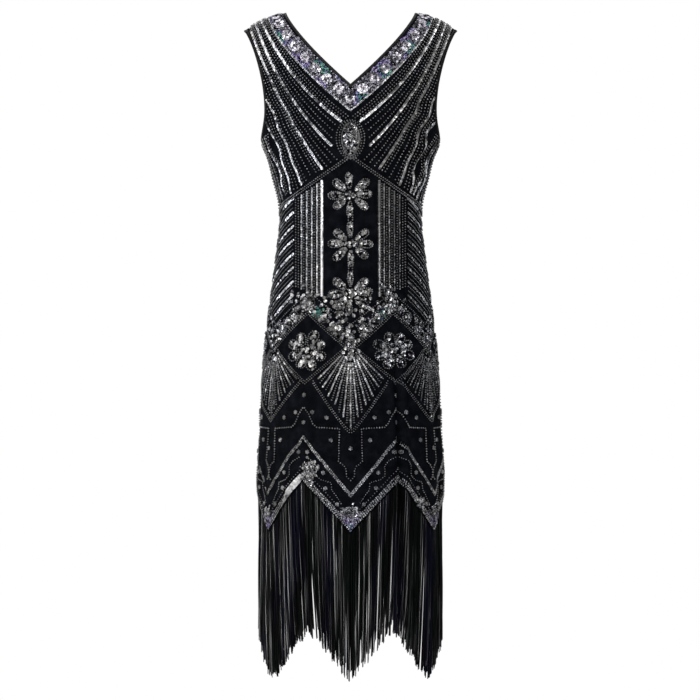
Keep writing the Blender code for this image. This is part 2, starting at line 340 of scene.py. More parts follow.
class Finish:
    """A material with a Principled shader, whose constant sockets are set by name."""

    def __init__(self, name, **constants):
        self.material = bpy.data.materials.new(name)
        self.material.use_nodes = True
        self.tree = self.material.node_tree
        self.shader = self.tree.nodes["Principled BSDF"]
        for word, value in constants.items():
            self.socket(word).default_value = value

    def socket(self, word):
        """The shader's socket whose name is the word with spaces and capitals."""
        return self.shader.inputs[word.replace("_", " ").title().replace("Ior", "IOR")]

    def node(self, kind, settings=None, inputs=None, output=0):
        """Adds one node: first its settings, or a ramp's stops, then its sockets' values. A
        socket goes by its name, or by its number where names repeat."""
        node = self.tree.nodes.new(kind)
        for name, value in (settings or {}).items():
            if name == "stops":
                ramp = node.color_ramp
                while len(ramp.elements) < len(value):
                    ramp.elements.new(0.5)
                for element, (position, colour) in zip(ramp.elements, value):
                    element.position = position
                    element.color = (*colour, 1.0)
            else:
                setattr(node, name, value)
        for socket, value in (inputs or {}).items():
            if isinstance(value, Wire):
                self.tree.links.new(value.socket, node.inputs[socket])
            else:
                node.inputs[socket].default_value = value
        return Wire(self, node.outputs[output])

    def ramp(self, tone, *stops):
        """A colour ramp of a tone, by stops of position and colour."""
        return self.node("ShaderNodeValToRGB", {"stops": stops}, {"Fac": tone})

    def split(self, vector):
        """The first two parts of a vector."""
        parts = self.node("ShaderNodeSeparateXYZ", {}, {"Vector": vector}).socket.node.outputs
        return Wire(self, parts[0]), Wire(self, parts[1])

    def feed(self, **wires):
        """Links wires to the shader's sockets, and hands over the finished material."""
        for word, wire in wires.items():
            self.tree.links.new(wire.socket, self.socket(word))
        return self.material


NET_MESH = 0.0018             # between the holes in a row of the net


def black_net():
    """Net whose holes are two crossed sines of the cloth's own map, over a mottled knit."""
    cloth = Finish("black_net", sheen_weight=0.006, sheen_roughness=0.4,
                   sheen_tint=(0.5, 0.6, 0.85, 1.0), specular_ior_level=0.03)
    place = cloth.node("ShaderNodeUVMap", {"uv_map": "cloth"})
    across, down = cloth.split(place)
    turns = 2 * np.pi / NET_MESH
    net = (across * turns).sine() * (down * turns).sine() * 0.5 + 0.5
    knit = cloth.node("ShaderNodeTexNoise", {}, {"Vector": place, "Scale": 55.0, "Detail": 5.0,
                                                 "Roughness": 0.65})
    tone = net * 0.35 + knit * 0.65
    colour = cloth.ramp(tone, (0.25, (0.0003, 0.0004, 0.0008)), (0.50, (0.0018, 0.0022, 0.0036)),
                        (0.80, (0.0120, 0.0135, 0.0190)))
    bump = cloth.node("ShaderNodeBump", {}, {"Strength": 0.4, "Distance": 0.0007,
                                             "Height": net * 0.6 + knit * 0.8})
    return cloth.feed(base_color=colour, roughness=0.95 - tone * 0.25, normal=bump)


net = black_net()
for side in SIDES:
    level, turn, faces = two_halves(*shell_grid(side), YOKE_ROWS, side)
    uv = np.stack([turn * ROUND, level], axis=-1)
    shell = new_object(f"{side}_shell", on_dress(level, turn, side), faces, net, uv)
    wall = shell.modifiers.new("wall", "SOLIDIFY")
    wall.thickness, wall.offset = SHELL_WALL, -1.0
    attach(shell, "root")
    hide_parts(f"{side}_panel")


# ---- The bindings ----
# Bias strips of black satin, folded over the neck and armhole edges and stitched: a rounded
# strip along each edge of the shell, with fine twill lines across it and a soft shine.

BINDING_HALF_WALL = 0.0013
BINDING_SINK = 0.0006         # of its middle, below the outside of the shell
BINDING_LAP = 0.0005          # by which it is wider than the seam on either side
BINDING_EDGE = 0.7            # 1 for an oval strip, less for a flatter one with tighter edges
MITRE_LIMIT = 0.3             # so that a sharp corner doesn't stand far out
ARMHOLE_MIDDLE = (0.25, 0.0, -0.12)   # out from the wearer's left one, on its open side


def black_satin():
    """Satin with the diagonal waves of a twill, duller where a noise says that it is worn."""
    cloth = Finish("black_satin", sheen_weight=0.03, sheen_roughness=0.35, specular_ior_level=0.2)
    place = cloth.node("ShaderNodeTexCoord", output="Object")
    twill = cloth.node("ShaderNodeTexWave", {"bands_direction": "DIAGONAL"},
                       {"Vector": place, "Scale": 260.0, "Distortion": 1.5, "Detail": 1.0}, "Fac")
    worn = cloth.node("ShaderNodeTexNoise", {}, {"Vector": place, "Scale": 60.0})
    colour = cloth.ramp(twill * 0.5 + worn * 0.5, (0.25, (0.0006, 0.0006, 0.001)),
                        (0.75, (0.004, 0.004, 0.005)))
    bump = cloth.node("ShaderNodeBump", {}, {"Strength": 0.3, "Distance": 0.0004, "Height": twill})
    return cloth.feed(base_color=colour, roughness=worn * 0.3 + 0.35, normal=bump)


def edge_run(edge, side, hand, count=110):
    """Points and normals along a shell's edge, from the shoulder down. Levels go by the share
    squared at the neck and by a sine squared at the armhole, so they lie close together over the
    shoulder and at the underarm."""
    share = np.linspace(0, 1, count)
    if edge == "neck":
        level = np.delete(neck_level(side) * share ** 2, -2)
        turn = hand * neck_turn(level, side)
    else:
        level = (UNDERARM + BINDING) * np.sin(np.pi / 2 * share) ** 2
        turn = hand * side_turn(level, side)
    return np.hstack([on_form(level, turn, side), outward(on_form, level, turn, side)])


def signed_power(value, power):
    """The power of a value's size, with the value's sign."""
    return np.sign(value) * np.abs(value) ** power


def bias_strip(name, loop, open_side, replaced, sides=12):
    """A rounded strip beside a closed edge: rings whose width goes by a power of the cosine and
    whose wall by the same power of the sine, mitred at the corners, on the side of the edge where
    the points open_side lie."""
    edge, normal = loop[:, :3], loop[:, 3:]
    ahead, behind = np.roll(edge, -1, axis=0) - edge, edge - np.roll(edge, 1, axis=0)

    def sideways(direction):
        across = unit(np.cross(direction, normal))
        return across * np.sign(np.sum(across * (open_side - edge), axis=1, keepdims=True))

    mitre = unit(sideways(ahead) + sideways(behind))
    mitre /= np.maximum(np.sum(mitre * sideways(ahead), axis=1, keepdims=True), MITRE_LIMIT)
    angle = np.arange(sides) * 2 * np.pi / sides
    u = signed_power(np.cos(angle), BINDING_EDGE) * (BINDING / 2 + BINDING_LAP)
    v = signed_power(np.sin(angle), BINDING_EDGE) * BINDING_HALF_WALL
    points = (edge[:, None] + mitre[:, None] * (u + BINDING / 2)[None, :, None]
              + normal[:, None] * (v - BINDING_SINK)[None, :, None])
    ring = np.arange(len(edge))[:, None] * sides
    following = np.roll(ring, -1, axis=0)
    here, there = np.arange(sides), (np.arange(sides) + 1) % sides
    faces = np.stack([ring + here, following + here, following + there, ring + there], -1)
    points, faces = points.reshape(-1, 3), faces.reshape(-1, 4)
    a, b, c = points[faces[:, 0]], points[faces[:, 1]], points[faces[:, 2]]
    if np.sum(np.cross(a, b) * c) < 0:
        faces = faces[:, ::-1]
    strip = new_object(name, points, faces, satin)
    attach(strip, "root")
    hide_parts(replaced)


satin = black_satin()
runs = {(side, hand): edge_run("neck", side, hand) for side in SIDES for hand in HANDS}
neck_loop = np.vstack([runs["front", -1][::-1], runs["back", -1][1:], runs["back", 1][-2::-1],
                       runs["front", 1][1:-1]])
above = neck_loop[:, :3] * (0, 0, 1) + (0, 0, 0.1)
bias_strip("neck_strip", neck_loop, above, "neck_binding")
for hand, name in zip(HANDS, ("right", "left")):
    front, back = (edge_run("armhole", side, hand) for side in SIDES)
    bias_strip(f"armhole_strip_{name}", np.vstack([front, back[-2:0:-1]]),
               np.array(ARMHOLE_MIDDLE) * (hand, 1, 1), f"armhole_binding_{name}")


# ---- The neck band ----
# A border 35 mm wide round both necks: small violet and green sequins laid over each other,
# a row of silver rosettes along it, and a thick line of silver sequins at its outer edge.

def sequin(radius, cup=0.0005, film=0.00015, sides=8):
    """A cup of facets: a rim on a circle, raised by the cup's depth, and two hubs on its axis,
    above and below the film."""
    angle = np.arange(sides) * 2 * np.pi / sides
    rim = np.stack([radius * np.cos(angle), radius * np.sin(angle), np.full(sides, cup)], -1)
    points = np.vstack([rim, [[0, 0, film], [0, 0, 0]]])
    here, there = np.arange(sides), (np.arange(sides) + 1) % sides
    above = np.stack([here, there, np.full(sides, sides)], -1)
    below = np.stack([there, here, np.full(sides, sides + 1)], -1)
    return points, np.vstack([above, below])


def bead(length, radius, sides=6):
    """A bead on its thread: two rings round the thread, half its length apart, and a hub on it at
    each end."""
    angle = np.arange(sides) * 2 * np.pi / sides
    half, shoulder = length / 2, length * 0.25
    ring = np.stack([radius * np.cos(angle), radius * np.sin(angle) + radius], -1)
    points = np.vstack([np.insert(ring, 0, -shoulder, axis=1), np.insert(ring, 0, shoulder, axis=1),
                        [[-half, 0, radius], [half, 0, radius]]])
    here, there = np.arange(sides), (np.arange(sides) + 1) % sides
    first, second = 2 * sides, 2 * sides + 1
    faces = [np.stack([here, there, there + sides], -1),
             np.stack([here, there + sides, here + sides], -1),
             np.stack([there, here, np.full(sides, first)], -1),
             np.stack([here + sides, there + sides, np.full(sides, second)], -1)]
    return points, np.vstack(faces)


def painted_light_waves(level, turn):
    """Slow waves from 0 to 1, a sum of three sines of the place: painted light and shade, how far
    the cloth would turn what is sewn on it to the light, put into the colour of what is sewn."""
    waves = (np.sin(level * 95 + turn * 0.11) + np.sin(level * 41 - turn * 0.26 + 2)
             + np.sin(level * 163 + turn * 0.19 + 4))
    return np.clip(0.5 + waves / 3.6, 0, 1)


SLOTS = {"gunmetal_glass": "glass_beads", "violet_green_film": "iridescent_sequins"}
PATCH_GRAIN = 0.4             # how much single tones differ where a tone map gives their middle


def sew(name, side, places, shape, finish, lift=0.0003, lean=0.0, wobble=7.0, seed=1,
        tones=(0.0, 1.0), dull=1.0, waves=0.6, left=1.0, tone_map=None):
    """Copies of a shape joined in one mesh. places holds a level, a turn and a heading in space
    for each. A copy stands lift above the dress on its normal, leaned back along its heading by
    lean degrees and tilted at random by wobble degrees. Its corners lie near its own spot on the
    map OFBake: across, its tone, and down, a hue that changes slowly from place to place. The
    tone is a random number to the power dull, within tones, less a share of waves as painted
    shade where the painted light waves say the cloth turns it from the light, times left on the
    front's left half, which is painted shade there where left is below 1 and painted light where
    it is above. A tone map gives it by place."""
    places = np.vstack(places)
    points, faces = shape
    chance = np.random.default_rng(seed)
    count = len(places)
    level, turn, heading = places[:, 0], places[:, 1], places[:, 2:5]
    normal = outward(on_dress, level, turn, side)
    spot = on_dress(level, turn, side) + normal * lift
    along = unit(heading - np.sum(heading * normal, axis=1, keepdims=True) * normal)
    across = np.cross(normal, along)
    tilt = np.radians(chance.normal(0, wobble, (count, 2)))
    back = np.tan(np.radians(lean))
    up = unit(normal - back * along + tilt[:, :1] * along + tilt[:, 1:] * across)
    along = unit(along - np.sum(along * up, axis=1, keepdims=True) * up)
    across = np.cross(up, along)
    local = points[None, :, :, None]
    made = (spot[:, None] + local[:, :, 0] * along[:, None] + local[:, :, 1] * across[:, None]
            + local[:, :, 2] * up[:, None])
    tone = tones[0] + (tones[1] - tones[0]) * chance.uniform(0, 1, count) ** dull
    # painted shade on the front's left half where left is below 1, painted light where it is above
    painted_side_shade = np.where(turn > 0, left, 1.0) if side == "front" else 1.0
    # the tone is lowered by a share of waves as painted shade where the painted light waves run low
    tone = np.clip(tone * (1 - waves * (1 - painted_light_waves(level, turn))) * painted_side_shade, 0, 1)
    if tone_map is not None:
        tone = np.clip(tone_map(level, turn) + PATCH_GRAIN * (tone - 0.4), 0, 1)
    drift = np.sin(turn * 0.045 + level * 7 - 1.5)
    hue = 0.45 + 0.25 * drift + chance.uniform(-0.25, 0.25, count)
    size = np.abs(points).max()
    uv = np.stack([tone[:, None] * 0.9 + 0.05 + 0.03 * points[:, 0] / size,
                   hue[:, None] * 0.9 + 0.05 + 0.03 * points[:, 1] / size], axis=-1)
    joined = (np.arange(count)[:, None, None] * len(points) + faces[None]).reshape(-1, 3)
    slot = SLOTS.get(finish.name, "silver_sequins")
    piece = new_object(f"{name}_{side}", made.reshape(-1, 3), joined, finish, uv.reshape(-1, 2),
                       slot == "glass_beads", "OFBake")
    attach(piece, "root")
    sewn[side].append(piece)


sewn = {side: [] for side in SIDES}


def to_dress(x, drop):
    """Level and turn of a point seen at x and drop: the level is the drop less the fall of the
    shoulder there, or next to nothing above the seam."""
    x, drop = np.broadcast_arrays(x, np.asarray(drop, float))
    level = drop
    for _ in range(4):        # each round comes closer to the level whose fall is the right one
        level = np.maximum(drop - shoulder_drop(level, x), 0.00002)
    return level, turn_at(x, level)


SEAM_CLEAR = 0.00006          # the level 3 mm from the shoulder seam, where the form lies flat


def inside(level, turn, side, margin):
    """Which points lie on the shell, at least about a margin from its edges."""
    slack = margin / ROUND
    on_it = (np.abs(turn) < side_turn(level, side) - slack) & (level > SEAM_CLEAR)
    on_it &= (np.abs(turn) > neck_turn(level, side) + slack) | (level > neck_level(side) + margin)
    return on_it & (level < hem_level(turn) - margin)


def stitch(side, level, turn, pitch, start=0.5, margin=0.0025):
    """Places a pitch apart along a route of levels and turns, measured on the dress. Between two
    points the level's root changes evenly, as it does over the shoulder."""
    level, turn = np.broadcast_arrays(level, np.asarray(turn, float))
    points = on_dress(level, turn, side)
    steps = np.maximum(np.linalg.norm(np.diff(points, axis=0), axis=1), 1e-9)
    length = np.concatenate([[0], np.cumsum(steps)])
    at = np.arange(start * pitch, length[-1], pitch)
    heading = np.gradient(points, length, axis=0)
    columns = [np.sqrt(level), turn, *heading.T]
    places = np.stack([np.interp(at, length, column) for column in columns], -1)
    places[:, 0] **= 2
    return places[inside(places[:, 0], places[:, 1], side, margin)]


def scatter(side, level, turn, margin=0.0025, seed=1):
    """Places at levels and turns on the shell, with headings drawn from all directions."""
    level, turn = np.broadcast_arrays(np.ravel(level), np.ravel(turn))
    kept = inside(level, turn, side, margin)
    angle = np.random.default_rng(seed).uniform(0, 2 * np.pi, kept.sum())
    heading = np.stack([np.cos(angle), 0 * angle, np.sin(angle)], -1)
    return np.column_stack([level[kept], turn[kept], heading])


def around(side, level, turn, u, down, step=0.1):
    """Level and turn of points u metres round the dress and down from a place on it. The turn
    grows by u over the metres for a degree, measured there on a small step."""
    far = np.linalg.norm(on_form(level, turn + step, side) - on_form(level, turn, side), axis=-1)
    return level + down, turn + u / (far / step)


def oval(side, level, turn, across, down=None, count=48):
    """An ellipse on the dress, by its half width and half height."""
    t = np.linspace(0, 2 * np.pi, count)
    return around(side, level, turn, across * np.cos(t), (down or across) * np.sin(t))


BAND_TAPER = (0.14, 0.03)     # share by which the band is narrower at the shoulder, and how far
                              # down that is a third of it


def beside_neck(side, width, step=0.001):
    """Half of the line a width outside the neck edge, from the middle up to the shoulder: the
    edge x = in * (1 - (drop / depth) ** roundness), moved along its own normal, by up to a
    seventh less towards the shoulder."""
    depth, power = NECK_DEPTH[side], NECK_ROUNDNESS[side]
    drop = np.append(np.arange(depth * 1.4, 0.0, -step), 0.0)
    x = SHOULDER_IN * (1 - (drop / depth) ** power)
    slope = -SHOULDER_IN * power / depth * (drop / depth) ** (power - 1)
    away = unit(np.stack([np.ones_like(slope), -slope], axis=-1))
    width = width * (1 - BAND_TAPER[0] * np.exp(-drop / BAND_TAPER[1]))
    x, drop = x + width * away[:, 0], drop + width * away[:, 1]
    return x[x >= 0], drop[x >= 0]


def own_tones(finish):
    """The tone and the hue that each bead or sequin has on the map OFBake."""
    return finish.split(finish.node("ShaderNodeUVMap", {"uv_map": "OFBake"}))


def mixed(finish, blend, first, second):
    """Two colours multiplied, added or the like, in full. A Mix node takes them at 6 and 7, with
    how far at 0, and gives the colour at 2."""
    return finish.node("ShaderNodeMix", {"data_type": "RGBA", "blend_type": blend},
                       {0: 1.0, 6: first, 7: second}, 2)


def tinted(finish, tone, hue, *greys):
    """A ramp of greys by the tone, bluish where the hue is low and a little warm where it is
    high. A grey is a position and how light it is there."""
    shade = finish.ramp(tone, *((position, (grey, grey, grey)) for position, grey in greys))
    tint = finish.ramp(hue, (0.15, (0.88, 0.91, 1.0)), (0.5, (0.97, 0.97, 1.0)),
                       (0.85, (1.0, 0.98, 0.94)))
    return mixed(finish, "MULTIPLY", shade, tint)


def silver_film():
    """Silvered film: most sequins dull, a few bright, each with its own gloss."""
    film = Finish("silver_film", metallic=1.0)
    tone, hue = own_tones(film)
    colour = tinted(film, tone, hue, (0.0, 0.06), (0.45, 0.26), (0.75, 0.58), (1.0, 0.94))
    return film.feed(base_color=colour, roughness=hue * 0.22 + 0.12)


def satin_silver():
    """Silvered film with a brushed face, for the long lines."""
    film = Finish("satin_silver", metallic=1.0)
    tone, hue = own_tones(film)
    colour = tinted(film, tone, hue, (0.0, 0.12), (0.5, 0.48), (1.0, 0.95))
    return film.feed(base_color=colour, roughness=hue * 0.20 + 0.22)


def violet_green_film():
    """Dark film that turns from black through grey and violet to green as the tone rises."""
    film = Finish("violet_green_film", metallic=1.0)
    tone, hue = own_tones(film)
    colour = film.ramp(tone, (0.0, (0.015, 0.015, 0.018)), (0.20, (0.07, 0.07, 0.08)),
                       (0.42, (0.26, 0.25, 0.30)), (0.55, (0.17, 0.14, 0.26)),
                       (0.70, (0.09, 0.06, 0.17)), (0.85, (0.03, 0.12, 0.11)),
                       (1.0, (0.12, 0.22, 0.15)))
    return film.feed(base_color=colour, roughness=hue * 0.2 + 0.18)


def gunmetal_glass():
    """Small glass beads with a grey metal lining, under a thin clear coat."""
    glass = Finish("gunmetal_glass", metallic=0.75, coat_weight=0.5, coat_roughness=0.1)
    tone, hue = own_tones(glass)
    colour = tinted(glass, tone, hue, (0.0, 0.07), (0.5, 0.26), (1.0, 0.72))
    return glass.feed(base_color=colour, roughness=hue * 0.15 + 0.25)


def lilac_film():
    """Silvered film with a lilac tint, for the neck's rosettes."""
    film = Finish("lilac_film", metallic=1.0)
    tone, hue = own_tones(film)
    colour = film.ramp(tone, (0.0, (0.09, 0.085, 0.10)), (0.45, (0.40, 0.385, 0.435)),
                       (1.0, (0.92, 0.90, 0.94)))
    return film.feed(base_color=colour, roughness=hue * 0.20 + 0.22)


silver, line_silver, lilac_silver = silver_film(), satin_silver(), lilac_film()
iridescent, glass = violet_green_film(), gunmetal_glass()
LINE_SEQUIN, LINE_PITCH = 0.0021, 0.0031   # radius, and pitch of rows that overlap by a quarter
CUP = (0.0031, 0.0010)        # radius and depth of the single cups
DOT_BEAD = (0.0028, 0.0013)   # length and radius of the beads in the dotted rows
DOT_PITCH = 0.0052
SEED_BEAD = (0.0022, 0.0010)  # and in the close rows
SEED_PITCH = 0.0026

BAND_WIDTH = 0.0350
NET_ROWS = (0.0066, BAND_WIDTH - 0.0025, 0.0028)   # from the neck edge: first, last and pitch
NET_PITCH = 0.0031
INNER_ROWS = 0.0125           # rows nearer to the neck edge run on between the rosettes
ROSETTE_LINE = 0.0200         # from the neck edge
ROSETTE_PITCH = 0.0272
ROSETTE_PETALS = 7
ROSETTE_RADIUS = 0.0056
ROSETTE_CLEAR = 0.0082


def neck_patches(level, turn):
    """Grey, with patches of violet and a few of green where slow waves of the place run high."""
    violet = np.sin(level * 130 + turn * 0.12) + np.sin(level * 57 - turn * 0.30 + 1)
    green = np.sin(level * 88 - turn * 0.21 + 2.5) + np.sin(level * 43 + turn * 0.17)
    return np.where(green > 1.45, 0.88, np.where(violet > 0.5, 0.60, 0.20))


for side in SIDES:
    inner, outer, line, rosettes, hearts = [], [], [], [], []
    for hand in HANDS:
        for width in np.arange(*NET_ROWS):
            x, drop = beside_neck(side, width)
            start = 0.3 + (width * 1e4) % 0.7
            row = stitch(side, *to_dress(hand * x, drop), NET_PITCH, start)
            (inner if width < INNER_ROWS else outer).append(row)
        x, drop = beside_neck(side, BAND_WIDTH)
        line.append(stitch(side, *to_dress(hand * x, drop), LINE_PITCH, start=0.25))
        x, drop = beside_neck(side, ROSETTE_LINE)
        centres = stitch(side, *to_dress(hand * x, drop), ROSETTE_PITCH, start=(1 + hand) / 2)
        for level, turn in centres[:, :2]:
            t = (np.arange(ROSETTE_PETALS) + 0.3 * hand) * 2 * np.pi / ROSETTE_PETALS
            petals = around(side, level, turn, ROSETTE_RADIUS * np.cos(t),
                            ROSETTE_RADIUS * np.sin(t))
            rosettes.append(scatter(side, *petals))
            hearts.append(scatter(side, [level], [turn]))
            away = [on_form(*row[:, :2].T, side) - on_form(level, turn, side) for row in outer]
            outer = [row[np.linalg.norm(gap, axis=1) > ROSETTE_CLEAR]
                     for row, gap in zip(outer, away)]
    sew("neck_band_net", side, inner + outer, sequin(0.0020), iridescent, wobble=14, seed=11,
        waves=0.2, tone_map=neck_patches)
    sew("neck_band_edge", side, line, sequin(0.0018), line_silver, lean=9, wobble=9, seed=13,
        tones=(0.0, 0.8))
    sew("neck_rosettes", side, rosettes, sequin(0.0040, cup=0.0012), lilac_silver, lift=0.0009,
        wobble=12, seed=14, tones=(0.2, 1.0), waves=0.3)
    sew("neck_rosette_hearts", side, hearts, bead(0.0044, 0.0018), glass, lift=0.0008, seed=15)


# ---- The bodice rays ----
# Lines of silver sequins that sweep from the shoulders and armholes in to the middle, with
# dotted rows of beads between them. They end on a chevron of dotted rows under the bust.

# Start and end of each line as seen from the front, and how far it bows down and outwards. No
# sequins lie on the first, which is only the inner border of the dotted rows.
RAY_LINES = [
    ((0.1430, 0.0085), (0.0000, 0.1780), 0.0120),
    ((0.1525, 0.0115), (0.0160, 0.1890), 0.0155),
    ((0.1620, 0.0175), (0.0316, 0.2310), 0.0155),
    ((0.1715, 0.0245), (0.0458, 0.2724), 0.0107),
    ((0.1560, 0.1200), (0.0830, 0.2960), -0.0020),
    ((0.1430, 0.1880), (0.1005, 0.3095), -0.0050),
]
# Dotted rows from one line to the next: share of the way across, and of the length where it begins
THREE_ROWS = [(0.25, 0.0), (0.50, 0.0), (0.75, 0.0)]
ROWS_BETWEEN = [THREE_ROWS, THREE_ROWS, THREE_ROWS, THREE_ROWS + [(0.12, 0.5), (0.88, 0.5)],
                [(0.35, 0.0), (0.65, 0.0)]]
DOTTED_END = 1.3              # of a dotted row, past the line's own end, so the chevron ends it
RAY_TURN = 0.100              # level above which the sequins lean the other way, to the light
CHEVRON_TOP = 0.2457
CHEVRON_SLOPE = 0.6875
CHEVRON_CORNER = 0.112        # x where an arm turns to run almost level
CHEVRON_DIP = 0.020           # how much further down it gets from there to the side seam
CHEVRON_CLEAR = 0.005         # between the rows' ends and the chevron
DOUBLE_GAP = 0.0045           # between the rows of a dotted double line
MEDALLION_LEVEL = 0.2200
MEDALLION_CLEAR = (0.0275, 0.0370)   # half width and half height of the oval left free for it
PULL_X = (0.085, 0.03)        # where the pull under the arm starts, and over how far it grows
PULL_DROP = (0.12, 0.05)
WANDER = (0.0022, 0.0007)     # of a pulled row, and how much more on the left and less on the right
WANDER_LENGTH = 0.058
WANDER_SHIFT = 1.3
SIDE_WANDER = 0.09            # of the rows at the side, as a share of their way to the seam
# Turns of the tops and feet of the rows at the side, from the armhole down to the chevron
UNDERARM_BRIGHT = [(71.0, 58.5), (77.0, 66.5), (82.2, 74.0), (87.5, 82.0)]
UNDERARM_DOTTED = [(64.2, 53.0), (67.2, 55.3), (74.0, 62.5), (79.6, 70.3), (84.8, 78.0),
                   (88.6, 85.2), (89.3, 88.2)]
UNDERARM_TOP = UNDERARM + 0.008      # level of a top at a turn of 88
UNDERARM_FOOT = 0.317                # level of a foot at a turn of 64
UNDERARM_FALL = 0.0008               # further down for each degree round


def neck_sink(x, side):
    """How much lower the middle of the back's yoke lies than the front's, for its deeper V."""
    deeper = NECK_DEPTH[side] - NECK_DEPTH["front"]
    return deeper * np.clip(1 - np.abs(x) / SHOULDER_IN, 0, 1)


def bowed(line, t):
    """A parabola from start to end that passes a bow off the middle of the straight line."""
    start, end, bow = np.array(line[0]), np.array(line[1]), line[2]
    run = end - start
    aside = np.array([run[1], -run[0]]) / np.linalg.norm(run)
    t = t[:, None]
    points = start + run * t + aside * bow * 4 * t * (1 - t)
    return points[:, 0], points[:, 1]


def between(first, second, share):
    """The line at a share of the way from one line to the next."""
    ends = [tuple(np.array(a) * (1 - share) + np.array(b) * share)
            for a, b in zip(first[:2], second[:2])]
    return *ends, first[2] * (1 - share) + second[2] * share


def yoke_row(side, hand, line, pitch, begin=0.0, end=1.0, start=0.5):
    """A bowed row, as far as the chevron and the ring of the medallion. Under the arm the pull of
    the cloth makes it wander by a sine of its drop."""
    x, drop = bowed(line, np.linspace(begin, end, 150))
    kept = (drop < CHEVRON_TOP + CHEVRON_SLOPE * x - CHEVRON_CLEAR) & (x > 0)
    if side == "front":
        half_width, half_height = MEDALLION_CLEAR
        kept &= np.hypot(x / half_width, (drop - MEDALLION_LEVEL) / half_height) > 1
    x, drop = x[kept], drop[kept]
    pulled = ease(x, *PULL_X) * ease(drop, *PULL_DROP)
    wave = np.sin(drop * 2 * np.pi / WANDER_LENGTH + WANDER_SHIFT * hand)
    x = x + (WANDER[0] + WANDER[1] * hand) * pulled * wave
    return stitch(side, *to_dress(hand * x, drop + neck_sink(x, side)), pitch, start)


def underarm_row(side, hand, top, foot, pitch):
    """A row from the armhole down to the chevron, by its turns at both ends: a straight line that
    wanders by a sine. Its top and foot lie further down the nearer they are to the side seam."""
    t = np.linspace(0, 1, 80)
    wave = np.sin(t * 10 + WANDER_SHIFT * hand)
    turn = top + (foot - top) * t + (90 - top) * SIDE_WANDER * wave
    first = UNDERARM_TOP - UNDERARM_FALL * (88 - top)
    level = first + (UNDERARM_FOOT + UNDERARM_FALL * (foot - 64) - first) * t
    return stitch(side, level, hand * turn, pitch)


def chevron_row(side, hand, below, pitch, end_turn=88.5):
    """One arm of the chevron: straight as seen from the front, then almost level to the seam."""
    x = np.linspace(0.0005, CHEVRON_CORNER, 80)
    level, turn = to_dress(x, CHEVRON_TOP + below + CHEVRON_SLOPE * x + neck_sink(x, side))
    more = np.linspace(0, 1, 40)[1:]
    level = np.append(level, level[-1] + CHEVRON_DIP * more)
    turn = np.append(turn, turn[-1] + (end_turn - turn[-1]) * more)
    return stitch(side, level, hand * turn, pitch)


for side in SIDES:
    bright, dotted = [], []
    for hand in HANDS:
        for line in RAY_LINES[1:]:
            bright.append(yoke_row(side, hand, line, LINE_PITCH))
        for i, (first, second, rows) in enumerate(zip(RAY_LINES, RAY_LINES[1:], ROWS_BETWEEN)):
            for k, (share, begin) in enumerate(rows):
                pitch = DOT_PITCH * (1 + 0.06 * ((k + i) % 3))
                start = (0.1 + 0.37 * k + 0.23 * i) % 1
                dotted.append(yoke_row(side, hand, between(first, second, share), pitch, begin,
                                       DOTTED_END, start))
        for ends in UNDERARM_BRIGHT:
            bright.append(underarm_row(side, hand, *ends, LINE_PITCH))
        for ends in UNDERARM_DOTTED:
            dotted.append(underarm_row(side, hand, *ends, DOT_PITCH))
        for below in (0.0, DOUBLE_GAP):
            dotted.append(chevron_row(side, hand, below, DOT_PITCH * 0.85))
    for row in bright:
        row[row[:, 0] < RAY_TURN, 2:5] *= -1
    # left of 1.2 makes these lines lighter on the front's left half: painted light
    sew("bodice_rays", side, bright, sequin(LINE_SEQUIN * 1.18), line_silver, lean=9, wobble=7,
        seed=21, tones=(0.3, 0.85), waves=0.1, left=1.2)
    sew("bodice_dots", side, dotted, bead(*DOT_BEAD), glass, wobble=6, seed=22, tones=(0.0, 0.68))


# ---- The medallion ----
# An oval of silver cups in the middle of the front, in a close ring of beads and two dotted ones.

# Its rings: half width, half height and pitch of the beads
MEDALLION_RINGS = [(0.0148, 0.0280, SEED_PITCH), (0.0188, 0.0310, DOT_PITCH * 0.9),
                   (0.0238, 0.0330, DOT_PITCH * 0.9)]
MEDALLION_CUPS = 120

rings = [stitch("front", *oval("front", MEDALLION_LEVEL, 0.0, *half), pitch)
         for *half, pitch in MEDALLION_RINGS]
half_width, half_height, _ = MEDALLION_RINGS[0]
chance = np.random.default_rng(31)
radius = np.sqrt(chance.uniform(0, 1, MEDALLION_CUPS))
angle = chance.uniform(0, 2 * np.pi, MEDALLION_CUPS)
cups = around("front", MEDALLION_LEVEL, 0.0, half_width * 0.95 * radius * np.cos(angle),
              half_height * 0.97 * radius * np.sin(angle))
sew("medallion_rings", "front", rings, bead(*DOT_BEAD), glass, wobble=6, seed=32,
    tones=(0.0, 0.6))
sew("medallion_cups", "front", [scatter("front", *cups)], sequin(*CUP), silver, lift=0.0006,
    wobble=17, seed=33, tones=(0.1, 1.0), dull=1.6, waves=0.1)


# ---- The centre panel ----
# Three flowers on one beaded stem, on plain net. A flower has six round petals at its sides and
# a leaf above and below, each one loop of beads, with silver cups inside.

FLOWER_LEVELS = [0.3125, 0.3965, 0.4800]
PETALS = [(40, 0.0062), (1, 0.0062), (-42, 0.0060), (-90, 0.0044), (222, 0.0060), (179, 0.0062),
          (140, 0.0062), (90, 0.0046)]   # angle, half width
PETAL_REACH = (0.0105, 0.0385)       # where a petal starts and ends, from the flower's middle
PETAL_BEAD = (0.0026, 0.0012)
PETAL_PITCH = 0.0034
PETAL_CUPS, LEAF_CUPS, HEART_CUPS = 16, 10, 14
LEAF_HALF = 0.0050                   # half width that only petals pass
HEART = (0.010, 0.009)               # half width and half height of the cups in the middle
STEM = (0.279, 0.515)                # levels of its ends
STEM_HALF = 0.0034
STEM_PITCH = 0.0046
STEM_CLEAR = 0.026                   # of the flowers' middles


def slanted(side, level, turn, angle, along, aside, widen):
    """Points of a flower, so far along an angle from its middle and so far aside of it. The whole
    flower is widen times as wide as high."""
    angle = np.radians(angle)
    return around(side, level, turn, widen * (along * np.cos(angle) - aside * np.sin(angle)),
                  -along * np.sin(angle) - aside * np.cos(angle))


